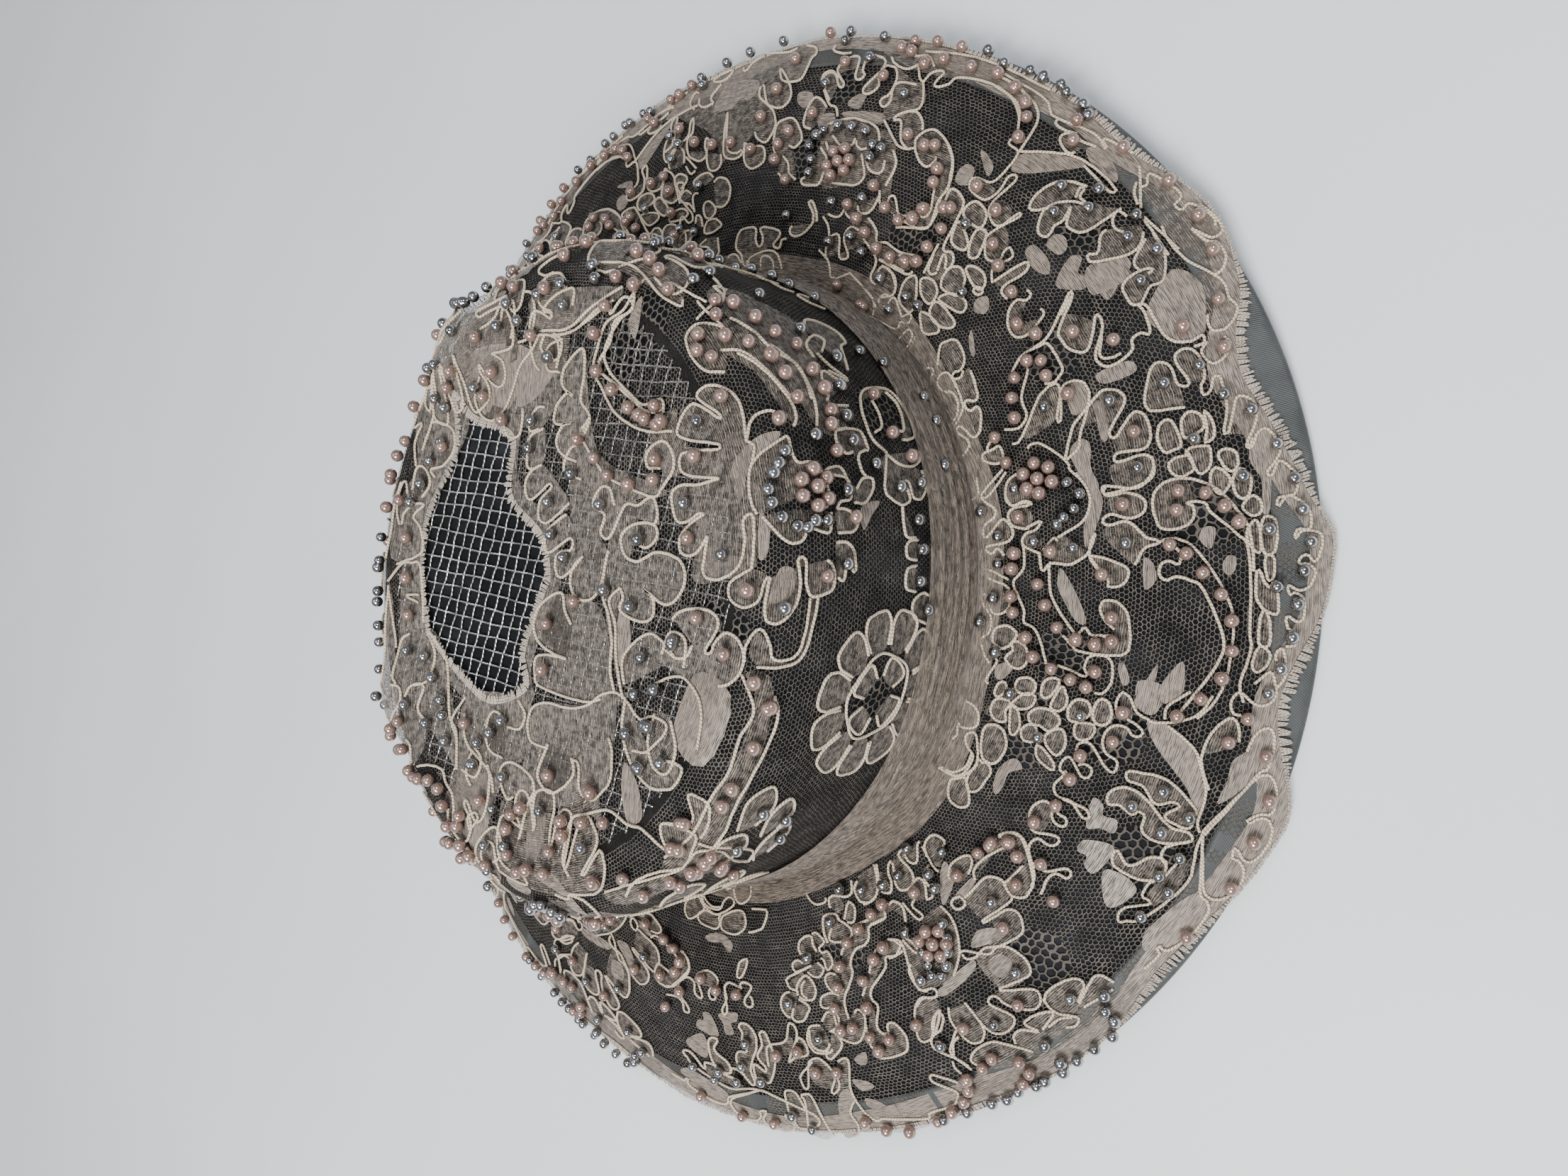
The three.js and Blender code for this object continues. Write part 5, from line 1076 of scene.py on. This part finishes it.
# sheer gathered tulle of the band
def makeBandMaterial():
    material, tree, shader = startMaterial("bandTulle", Roughness=0.62, Sheen_Weight=0.35)
    page = pageOf(tree)
    lines = useGroup(tree, threadLines, page, Pitch=0.55, Wander=0.3)
    tone = useGroup(tree, slowTone, page, Scale=0.25, Dark=(0.055, 0.040, 0.029, 1), Light=(0.18, 0.135, 0.10, 1))
    wire(tree, blendOf(tree, doMath(tree, "MULTIPLY", lines.outputs["Mask"], lines.outputs["Shade"]),
        tone.outputs["Color"], (0.27, 0.21, 0.16)), shader.inputs["Base Color"])
    wire(tree, doRange(tree, lines.outputs["Shade"], 0, 1, 0.5, 0.92), shader.inputs["Alpha"])
    bumpOf(tree, shader, lines.outputs["Mask"], 0.0003)
    return material


# silver strand of the tip net: its twist is a bump, and the twist's grooves are painted dark as shade
def makeStrandMaterial():
    material, tree, shader = startMaterial("silverStrand", Roughness=0.28, Metallic=0.9)
    split = put(tree, "ShaderNodeSeparateXYZ")
    wire(tree, pageOf(tree), split.inputs[0])
    turns = doMath(tree, "ADD", doMath(tree, "DIVIDE", split.outputs[0], 1.5), split.outputs[1])
    twistReliefAndGrooveShade = doRange(tree, doMath(tree, "ABSOLUTE", doMath(tree, "SINE", doMath(tree, "MULTIPLY", turns, math.pi))),
        0.0, 0.7)
    tone = useGroup(tree, slowTone, bodyPlace(tree), Scale=160.0, Dark=(0.35, 0.34, 0.33, 1),
        Light=(0.85, 0.84, 0.82, 1))
    # painted shade in the twist's grooves
    wire(tree, blendOf(tree, twistReliefAndGrooveShade, (0.12, 0.12, 0.12), tone.outputs["Color"]), shader.inputs["Base Color"])
    bumpOf(tree, shader, twistReliefAndGrooveShade, 0.0002)
    return material


looks = {
    "net": makeNetMaterial(), "toile": makeToileMaterial(), "satin": makeSatinMaterial(), "cord": makeCordMaterial(),
    "pearl": makePearlMaterial(), "silver": makeSilverMaterial(), "form": makeFormMaterial(),
        "edge": makeSatinEdgeMaterial(),
    "band": makeBandMaterial(), "strand": makeStrandMaterial(),
    # the first colour of each thread look is the painted shade in the grooves between its wraps
    "thread": makeCordMaterial("sewingThread", (0.45, 0.42, 0.38), (0.80, 0.77, 0.72), 0.8),
    "lash": makeCordMaterial("fringeThread", (0.24, 0.20, 0.165), (0.50, 0.43, 0.36), 0.9),
}
print("materials made")



# stiff forms: a circle extruded row by row, settled on the hat's surface, then given its wall
def rowsPiece(name, rows, around=144, tip=False):
    bpy.ops.object.select_all(action="DESELECT")
    bpy.ops.mesh.primitive_circle_add(vertices=around, radius=rows[0][0], location=(0, 0, rows[0][1]))
    piece = bpy.context.object
    piece.name = piece.data.name = name
    bpy.ops.object.transform_apply(location=True, rotation=True, scale=True)
    bpy.ops.object.mode_set(mode="EDIT")
    bpy.ops.mesh.select_all(action="SELECT")
    for (before, low), (radius, high) in zip(rows, rows[1:]):
        bpy.ops.mesh.extrude_edges_move(TRANSFORM_OT_translate={"value": (0, 0, high - low)})
        share = radius / before
        bpy.ops.transform.resize(value=(share, share, 1), center_override=(0, 0, high))
    if tip:
        bpy.ops.mesh.merge(type="CENTER")
    bpy.ops.object.mode_set(mode="OBJECT")
    return piece


# each vertex goes from its row and direction to its place on the hat
def settle(piece, place):
    co = np.zeros(len(piece.data.vertices) * 3)
    piece.data.vertices.foreach_get("co", co)
    co = co.reshape(-1, 3)
    degrees = np.degrees(np.arctan2(co[:, 1], co[:, 0]))
    piece.data.vertices.foreach_set("co", (place(degrees, co[:, 2]) * mm).ravel())
    piece.data.update()


def applyAll(piece):
    bpy.ops.object.select_all(action="DESELECT")
    piece.select_set(True)
    bpy.context.view_layer.objects.active = piece
    for modifier in list(piece.modifiers):
        bpy.ops.object.modifier_apply(modifier=modifier.name)


def outwardAgain(piece):
    bpy.ops.object.select_all(action="DESELECT")
    piece.select_set(True)
    bpy.context.view_layer.objects.active = piece
    bpy.ops.object.mode_set(mode="EDIT")
    bpy.ops.mesh.select_all(action="SELECT")
    bpy.ops.mesh.normals_make_consistent(inside=False)
    bpy.ops.object.mode_set(mode="OBJECT")


def giveWall(piece, thickness):
    wall = piece.modifiers.new("wall", "SOLIDIFY")
    wall.thickness, wall.offset, wall.use_even_offset = thickness * mm, -1, True
    applyAll(piece)
    bpy.ops.object.shade_smooth_by_angle(angle=math.radians(50))


# stiff form of the crown: rows up the side, then rows over the tip, in mm of arc
crownForm = {"sideRows": 18, "tipRows": 8, "tipStart": 10, "tipStop": 6, "middle": 0.5}


def makeCrownForm():
    side = np.linspace(0, shoulderArc, crownForm["sideRows"])
    over = np.linspace(shoulderArc + crownForm["tipStart"], centreArc - crownForm["tipStop"], crownForm["tipRows"])
    arcs = list(side) + list(over) + [centreArc - crownForm["middle"]]
    rows = [(1.0 - 0.9 * k / len(arcs), arc) for k, arc in enumerate(arcs)]
    piece = rowsPiece("crownForm", rows, tip=False)
    bpy.context.view_layer.objects.active = piece
    bpy.ops.object.mode_set(mode="EDIT")
    bpy.ops.mesh.edge_face_add()
    bpy.ops.mesh.poke()
    bpy.ops.object.mode_set(mode="OBJECT")
    settle(piece, lambda degrees, arc: crownSurface(degrees, arc))
    outwardAgain(piece)
    giveWall(piece, hat["wall"])
    return dress(piece, looks["form"], ["crown_shell"])


# stiff form of the brim, from the crown foot to the edge, in mm
brimForm = {"inner": 0.31, "outer": 86.8, "rows": 22}


def makeBrimForm():
    outs = np.linspace(brimForm["inner"], brimForm["outer"], brimForm["rows"])
    rows = [(1.0 + 0.9 * k / len(outs), out) for k, out in enumerate(outs)]
    piece = rowsPiece("brimForm", rows)
    settle(piece, lambda degrees, out: brimSurface(degrees, out))
    outwardAgain(piece)
    co = piece.data.polygons[0].normal
    if co.z < 0:
        piece.data.flip_normals()
    giveWall(piece, hat["wall"])
    return dress(piece, looks["form"], ["brim_shell"])


# satin edge: a strip of cloth turned over the brim edge, wider on top
satinEdge = {"top": 10.0, "under": 6.0, "lift": 0.45, "round": 1.5, "foot": 0.52}


def makeSatinEdge():
    degrees = np.linspace(0, 360, 361)[:-1]
    top = [(86.86 - satinEdge["top"] * (1 - k / 7), satinEdge["lift"]) for k in range(8)]
    turn = [(86.86 + satinEdge["round"] * math.sin(t),
        -hat["wall"] / 2 + (hat["wall"] / 2 + satinEdge["lift"]) * math.cos(t) - satinEdge["foot"] * max(0.0,
        -math.cos(t))) for t in np.linspace(0.3, math.pi - 0.3, 7)]
    under = [(86.86 - satinEdge["under"] * k / 4,
        -hat["wall"] - satinEdge["lift"] - satinEdge["foot"]) for k in range(5)]
    profile = [(top[0][0] + 0.2, 0.12)] + top + turn + under + [(under[-1][0], -hat["wall"] - 0.1)]
    length = np.concatenate([[0],
        np.cumsum([math.hypot(b[0] - a[0], b[1] - a[1]) for a, b in zip(profile, profile[1:])])])
    ripple = 0.12 * np.sin(np.radians(degrees) * 47) + 0.1 * np.sin(np.radians(degrees) * 81 + 1)
    points = np.stack([lay("brim", degrees, out + 0 * degrees, lift + ripple * (0 < k < 9), onLace=False)[0] for k,
        (out, lift) in enumerate(profile)])
    around = np.append(np.radians(degrees), 2 * math.pi) * 184
    uv = np.stack([np.broadcast_to(around, (len(profile), len(around))),
        np.broadcast_to(length[:, None], (len(profile), len(around)))], -1)
    piece = buildMesh("satinEdge", [gridPart(points[::-1], uv[::-1], True)])
    dress(piece, looks["edge"], ["brim_binding"])
    return piece


# silver net on the tip: two sets of strands that go over and under each other
tipNet = {"steep": (0.10, 4.2), "slant": (-0.30, 4.3), "radius": 0.34, "reach": 0.97, "lift": 0.55, "weave": 0.2}


def makeTipNet():
    parts = []
    a, b = 83.75 * tipNet["reach"], 72.73 * tipNet["reach"]
    for kind in ("steep", "slant"):
        lean, pitch = tipNet[kind]
        ahead = np.array([lean, 1.0]) if kind == "steep" else np.array([1.0, lean])
        ahead /= np.linalg.norm(ahead)
        side = np.array([ahead[1], -ahead[0]])
        for k in range(-22, 23):
            t = np.arange(-95, 95, 0.9)
            sway = 0.25 * np.sin(t * 0.11 + k) + 0.12 * np.sin(t * 0.31 + 2 * k)
            spots = side * k * pitch + ahead * t[:, None] + side * sway[:, None]
            keep = (spots[:, 0] / a) ** 2 + (spots[:, 1] / b) ** 2 < 1
            if keep.sum() < 6:
                continue
            spots, t = spots[keep], t[keep]
            phase = 0 if kind == "steep" else math.pi
            lift = tipNet["lift"] + tipNet["weave"] * np.sin(math.pi * t / pitch + math.pi * k + phase)
            points = np.stack([spots[:, 0] + hat["lean"][0], spots[:, 1] + hat["lean"][1], hat["tipHeight"] + lift],
                -1)
            parts.append(tubePart(points, np.tile([0, 0, 1.0], (len(points), 1)), tipNet["radius"], 5,
                tone=rng.uniform(0, 1)))
    return dress(buildMesh("tipNet", parts), looks["strand"], ["tip_net"])


# gathered band round the crown's foot
hatBand = {"low": 0.8, "high": 21.5, "folds": 5.5, "depth": 1.9, "lift": 0.7, "skirt": 8.0}


def makeHatBand():
    degrees = np.linspace(0, 360, 721)
    share = np.linspace(0, 1, 44)
    a, h = np.meshgrid(np.radians(degrees), share)
    drift = 0.9 * np.sin(2 * a + 0.4) + 0.5 * np.sin(5 * a + 1.3) + 0.35 * np.sin(11 * a) + 0.2 * np.sin(23 * a + 2)
    fold = (0.55 * np.sin(2 * math.pi * hatBand["folds"] * h + drift)
            + 0.3 * np.sin(2 * math.pi * 9.3 * h - 1.7 * drift)
            + 0.2 * np.sin(2 * math.pi * 15 * h + 2.4 * drift))
    ends = np.sin(math.pi * np.clip(h, 0.0, 1.0)) ** 0.4
    lift = 1.0 + hatBand["lift"] + hatBand["depth"] * (0.35 + 0.5 * fold) * ends
    edge = 0.8 * np.sin(3 * a + 1) + 0.5 * np.sin(7 * a)
    arc = hatBand["low"] + (hatBand["high"] + edge - hatBand["low"]) * h
    points, _ = lay("crown", np.degrees(a[:, :-1]), arc[:, :-1], np.clip(lift[:, :-1], 0.9, 4), onLace=False)
    # its lower edge spreads out over the brim
    a2, h2 = np.meshgrid(np.radians(degrees), np.linspace(1, 0, 12))
    out = 0.7 + (hatBand["skirt"] + 1.6 * np.sin(3 * a2 + 2) + 1.1 * np.sin(8 * a2)) * h2
    low = (1.25 + 0.35 * (1 - h2)
           + 0.22 * np.sin(40 * h2 ** 0.8 + 3 * np.sin(2 * a2) + 2 * np.sin(7 * a2)) * np.sin(math.pi * h2))
    skirt, _ = lay("brim", np.degrees(a2[:, :-1]), out[:, :-1], low[:, :-1], onLace=False)
    points = np.concatenate([skirt, points])
    arc, lift = np.concatenate([-out, arc]), np.concatenate([low, lift])
    a = np.concatenate([a2, a])
    uv = np.stack([a * 98, np.cumsum(np.hypot(np.gradient(arc, axis=0), np.gradient(lift, axis=0)), axis=0)], -1)
    piece = buildMesh("hatBand", [gridPart(points, uv, True)])
    dress(piece, looks["band"], ["hat_band"])
    return piece


# tulle grounds
laceEdge = [(0, 86), (8, 84.5), (16, 88), (24, 86), (30, 88), (40, 85), (50, 88.5), (60, 88), (70, 81), (78, 88.5),
    (90, 90), (101, 84.5), (112, 89), (122, 88),
            (132, 82), (142, 89), (154, 88), (165, 84), (175, 88.5), (190, 88.5), (198, 86.5), (206, 86.5), (214, 86),
                (222, 88), (230, 87), (235, 84), (242, 86.3), (245.5, 88.6), (249.5, 90.3), (252.5, 91.5),
            (256, 86.8), (258.5, 83.3), (261.5, 81), (265.5, 83.3), (267.5, 86.2), (270, 88.6), (276.5, 91.2),
                (278.5, 86.8), (283.5, 82.7), (288.5, 78.7), (291, 76.9), (295, 79.9), (297.5, 85.1),
            (302, 88.6), (305.5, 90.3), (310.5, 88), (313.5, 84.6), (317.5, 84.6), (320.5, 86.3), (328, 85),
                (336, 86.5), (346, 87.5), (354, 88.5), (360, 86)]


def edgeOut(degrees):
    read = lambda at: np.interp(np.mod(at, 360), [a for a, _ in laceEdge], [q for _, q in laceEdge])
    return sum(read(np.asarray(degrees) + turn) for turn in np.linspace(-1.5, 1.5, 7)) / 7


# the lace's opening over the tip, charted on the tip page
opening = [(-22, 54.8), (-5, 59), (11.3, 58.6), (22, 53), (32.5, 46.7), (50.6, 46.4), (43.2, 38.2), (40, 27),
    (34.5, 19.7), (19, 20.5), (9.2, 7.6), (-1.9, 3),
           (-6.5, 4.6), (-15, 8), (-23.9, 11), (-34.4, 9.1), (-39.8, 24.5), (-33, 39.1)]
# the cut edge lies a little outside the charted line, as its fringe reaches inwards
openingGrown = 2.4
fromMiddle = np.array(opening) - np.mean(opening, 0)
opening = (np.array(opening) + fromMiddle / np.linalg.norm(fromMiddle, axis=1, keepdims=True) * openingGrown).tolist()


def makeBrimTulle():
    degrees = np.linspace(0, 360, 721)
    share = np.linspace(0, 1, 40)
    a, h = np.meshgrid(degrees, share)
    out = 0.5 + (edgeOut(a) - 0.5) * h
    coarse = np.zeros_like(a)
    for at, q, reach in coarseSpots["brim"]:
        away = np.hypot(((a - at + 180) % 360 - 180) * math.radians(99 + q), out - q)
        coarse = np.maximum(coarse, 1 - ease((away - reach + 4) / 8))
    points, _ = lay("brim", a[:, :-1], out[:, :-1])
    uv = np.stack([np.radians(a) * 150, out], -1)
    piece = buildMesh("brimTulle", [gridPart(points[::-1], uv[::-1], True, coarse[::-1, :-1])])
    dress(piece, looks["net"], ["brim_lace"])
    return piece


def makeCrownTulle():
    rows = []
    degrees = np.linspace(0, 360, 541)
    rim = curve(opening, True, 30)
    middle = rim.mean(0)
    turn = np.degrees(np.arctan2(rim[:, 1] - middle[1], rim[:, 0] - middle[0])) % 360
    order = np.argsort(turn)
    reach = np.hypot(*(rim - middle).T)
    for arc in np.linspace(0.5, shoulderArc, 34):
        rows.append(lay("crown", degrees[:-1], arc + 0 * degrees[:-1])[0])
    ring = np.stack([hat["lean"][0] + 83.75 * np.cos(np.radians(degrees)),
        hat["lean"][1] + 72.73 * np.sin(np.radians(degrees))], -1)
    inside = np.interp((np.degrees(np.arctan2(ring[:, 1] - middle[1], ring[:, 0] - middle[0]))) % 360, turn[order],
        reach[order], period=360)
    away = ring - middle
    rimSpots = middle + away / np.linalg.norm(away, axis=1, keepdims=True) * inside[:, None]
    for k in np.linspace(0, 1, 22)[1:]:
        spots = ring + (rimSpots - ring) * k
        rows.append(lay("tip", spots[:-1, 0], spots[:-1, 1])[0])
    points = np.stack(rows)
    run = np.concatenate([[0], np.cumsum(np.linalg.norm(np.diff(points[:, ::30], axis=0), axis=2).mean(1))])
    uv = np.stack([np.broadcast_to(np.radians(degrees) * 97, (len(rows), len(degrees))),
        np.broadcast_to(run[:, None], (len(rows), len(degrees)))], -1).copy()
    tipRows = np.arange(len(rows)) >= 34
    flat = np.concatenate([points, points[:, :1]], 1)
    uv[tipRows] = flat[tipRows][..., :2] + [400, 400]
    coarse = np.zeros((len(rows), len(degrees) - 1))
    for at, q, reachOf in coarseSpots["crown"]:
        d = np.hypot(((degrees[:-1] - at + 180) % 360 - 180)[None] * 1.69, (run[:, None] - q))
        coarse = np.maximum(coarse, 1 - ease((d - reachOf + 4) / 8))
    piece = buildMesh("crownTulle", [gridPart(points, uv, True, coarse)])
    dress(piece, looks["net"], ["crown_lace"])
    return piece


# beads: one small ball, copied to every place
def ballOf(segments, rings):
    bpy.ops.object.select_all(action="DESELECT")
    bpy.ops.mesh.primitive_uv_sphere_add(segments=segments, ring_count=rings, radius=1)
    ball = bpy.context.object
    verts = np.array([v.co[:] for v in ball.data.vertices])
    quads = np.array([p.vertices[:] for p in ball.data.polygons if len(p.vertices) == 4])
    tris = np.array([p.vertices[:] for p in ball.data.polygons if len(p.vertices) == 3])
    bpy.data.objects.remove(ball)
    return verts, quads, tris


ball = ballOf(12, 8)
beads = {"pearl": 2.0, "silver": 1.85}


def beadPart(place, radius, tone):
    verts, quads, tris = ball
    uv = lambda f: np.zeros(f.shape + (2,))
    return {"verts": place + verts * radius, "faces": [(quads, uv(quads)), (tris, uv(tris))], "tone": tone}


def makeBeads(name, kind, spots, replaces=()):
    parts = []
    if not spots:
        return None
    for chart, p, q in spots:
        radius = beads[kind] * rng.uniform(0.93, 1.05)
        jog = rng.normal(0, 0.12, 2)
        here, _ = lay(chart, p + jog[0] / charts[chart]["wide"](q), q + jog[1], 0.3 + radius)
        parts.append(beadPart(here, radius, rng.uniform(0, 1)))
    return dress(buildMesh(name, parts), looks[kind], replaces)


# hearts of the lace roses: a knot of pearls at the CAD's bead clusters
roses = [("brim", 285.5, 0.24, 0), ("brim", 343, 0.47, 20), ("brim", 41, 0.36, -15), ("brim", 100, 0.45, 10),
    ("brim", 160, 0.36, -10), ("brim", 221, 0.45, 25), ("crown", 285, 0.85, 0)]


def makeRoseBeads(number, chart, degrees, share, turn):
    q = 0.31 + 86.55 * share if chart == "brim" else float(np.interp(share, crownRows[1:9, 1], crownRows[1:9, 0]))
    wide, parts = charts[chart]["wide"](q), []
    for k in range(7):
        reach, way = (4.25 if k else 0), math.radians(60 * k + turn)
        x, y = reach * math.cos(way) + rng.normal(0,
            0.25), reach * math.sin(way) * charts[chart]["flip"] + rng.normal(0, 0.25)
        radius = 2.05 * rng.uniform(0.95, 1.04)
        here, _ = lay(chart, degrees + x / wide, q + y, 0.9 + radius + (0.35 if k == 0 else 0))
        parts.append(beadPart(here, radius, rng.uniform(0, 1)))
    dress(buildMesh(f"roseBeads{number}", parts), looks["pearl"], [f"rose_beads_{number}"])
    return f"roseBeads{number}"


def joinWork(name, kind, charted, look, slotName, **how):
    parts = []
    for entry in work[kind]:
        if entry[0] not in charted:
            continue
        if kind == "cord":
            parts += cordParts(*entry[:3], double=entry[3], **how)
        elif kind == "thread":
            parts += cordParts(entry[0], entry[1], radius=0.17, lift=1.5, step=1.6, sides=4)
        else:
            part = patchPart(entry[0], entry[1], how["lift"] + 0.05 * (len(parts) % 5))
            if part:
                parts.append(part)
    if not parts:
        return None
    piece = dress(buildMesh(name, parts), looks[look])
    print(name, len(piece.data.polygons), "faces")
    return piece


# eyelash fringe: small loops of thread along a cut edge, with their spacing and length in mm
fringe = {"edge": (0.88, 2.5), "opening": (0.8, 2.6)}


def lashPart(chart, wide, root, ahead, length, width):
    t = np.linspace(0, math.pi, 7)
    side = np.array([-ahead[1], ahead[0]])
    spots = np.array([root + ahead * length * math.sin(k) ** 0.8
                      + side * width * math.cos(k) * (0.5 + 0.5 * math.sin(k)) for k in t])
    here, normal = lay(chart, spots[:, 0] / wide, spots[:, 1],
        (0.6 if chart == "brim" else 0.4) + 0.35 * np.sin(t) * rng.uniform(-0.3, 1.3))
    return tubePart(here, normal, 0.21 * rng.uniform(0.8, 1.2), 4, tone=rng.uniform(0, 1))


def makeFringe(name, chart, line, outward, pitch, length):
    wide = charts[chart]["wide"](float(line[:, 1].mean()))
    flat = line * [wide, 1]
    run = np.concatenate([[0], np.cumsum(np.linalg.norm(np.diff(flat, axis=0), axis=1))])
    parts = []
    for s in np.arange(0, run[-1], pitch):
        s += rng.uniform(-0.12, 0.12)
        root = np.array([np.interp(s, run, flat[:, k]) for k in (0, 1)])
        onward = np.array([np.interp(s + 0.5, run, flat[:, k]) for k in (0, 1)])
        along = (onward - root) / (np.linalg.norm(onward - root) + 1e-9)
        ahead = np.array([along[1], -along[0]]) * outward + along * rng.normal(0, 0.16)
        parts.append(lashPart(chart, wide, root, ahead,
            length * rng.uniform(0.75, 1.15) * (min(1.0, max(0.3, (88 - root[1]) / 4)) if chart == "brim" else 1.0),
            rng.uniform(0.22, 0.38)))
    return dress(buildMesh(name, parts), looks["lash"])



makeCrownForm()
makeBrimForm()
makeSatinEdge()
makeTipNet()
makeHatBand()
print("forms, net and band made")
brimTulle, crownTulle = makeBrimTulle(), makeCrownTulle()
print("tulle laid")

# woven strips along the lace's edge and round its opening
wovenEdge = {"span": 12, "overlap": 0.4, "outer": 0.4, "inner": 6.5, "wave": 1.5, "waves": 9, "openingWidth": 4.5}
for start in range(0, 360, wovenEdge["span"]):
    a = np.linspace(start, start + wovenEdge["span"] + wovenEdge["overlap"], 12)
    outer = edgeOut(a) - wovenEdge["outer"]
    inner = edgeOut(a) - wovenEdge["inner"] - wovenEdge["wave"] * np.sin(np.radians(a * wovenEdge["waves"]))
    work["satin"].append(("brim", np.concatenate([np.stack([a, outer], -1), np.stack([a, inner], -1)[::-1]])))
rim = curve(opening, True, 6)
away = rim - rim.mean(0)
outward = rim + away / np.linalg.norm(away, axis=1, keepdims=True) * wovenEdge["openingWidth"]
for start in range(0, len(rim), 12):
    strip = [k % len(rim) for k in range(start, start + 13)]
    work["toile"].append(("tip", np.concatenate([rim[strip], outward[strip][::-1]])))

brimTrim = [
    joinWork("brimCords", "cord", ["brim"], "cord", "cord"),
    joinWork("brimToile", "toile", ["brim"], "toile", "lace", lift=0.22),
    joinWork("brimSatin", "satin", ["brim"], "satin", "lace", lift=0.12),
    joinWork("brimThreads", "thread", ["brim"], "thread", "cord"),
]
crownTrim = [
    joinWork("crownCords", "cord", ["crown", "tip"], "cord", "cord"),
    joinWork("crownToile", "toile", ["crown", "tip"], "toile", "lace", lift=0.22),
    joinWork("crownSatin", "satin", ["crown", "tip"], "satin", "lace", lift=0.12),
    joinWork("crownThreads", "thread", ["crown", "tip"], "thread", "cord"),
]
for kind in ("pearl", "silver"):
    on = lambda names: [s for s in work[kind] if s[0] in names]
    brimTrim.append(makeBeads("brim" + kind.capitalize() + "s", kind, on(["brim"])))
    crownTrim.append(makeBeads("crown" + kind.capitalize() + "s", kind, on(["crown", "tip"])))

for number, rose in enumerate(roses, 1):
    (brimTrim if rose[0] == "brim" else crownTrim).append(makeRoseBeads(number, *rose))
edgeLine = np.stack([np.linspace(0, 360, 1441), edgeOut(np.linspace(0, 360, 1441)) - 0.5], -1)
brimTrim.append(makeFringe("edgeFringe", "brim", edgeLine, -1, *fringe["edge"]))
rimLine = curve(opening + opening[:1], False, 30)
crownTrim.append(makeFringe("openingFringe", "tip", rimLine, 1, *fringe["opening"]))

print("lace made")

# plain stage
studio = {"floor": (0.70, 0.73, 0.75), "air": (0.80, 0.84, 0.90), "airPower": 0.38}


def makeStage():
    bpy.ops.object.select_all(action="DESELECT")
    bpy.ops.mesh.primitive_plane_add(size=6, location=(0, 0, -0.0005))
    floor = bpy.context.object
    floor.name = "floor"
    material, tree, shader = startMaterial("paleTable", Roughness=0.55)
    tone = useGroup(tree, slowTone, bodyPlace(tree), Scale=2.5, Dark=(*[c * 0.93 for c in studio["floor"]], 1),
        Light=(*studio["floor"], 1))
    wire(tree, tone.outputs["Color"], shader.inputs["Base Color"])
    floor.data.materials.append(material)
    world = bpy.data.worlds.new("studioAir")
    world.use_nodes = True
    background = world.node_tree.nodes["Background"]
    background.inputs[0].default_value = (*studio["air"], 1)
    background.inputs[1].default_value = studio["airPower"]
    bpy.context.scene.world = world


lamps = [  # name, place, size, watts, colour
    ("windowLeft", (-0.75, -0.35, 1.15), 0.62, 32, (1.0, 0.985, 0.96)),
    ("windowRight", (0.55, -0.75, 1.2), 0.4, 10, (0.95, 0.975, 1.0)),
    ("skyAbove", (0.1, 0.5, 1.6), 1.2, 7, (0.96, 0.98, 1.0)),
]


def makeLamps():
    for name, place, size, watts, colour in lamps:
        data = bpy.data.lights.new(name, "AREA")
        data.size, data.energy, data.color = size, watts, colour
        lamp = bpy.data.objects.new(name, data)
        lamp.location = place
        lamp.rotation_euler = (-Vector(place)).to_track_quat("-Z", "Y").to_euler()
        bpy.context.scene.collection.objects.link(lamp)


makeStage()
makeLamps()
print("stage set")

bpy.context.view_layer.update()
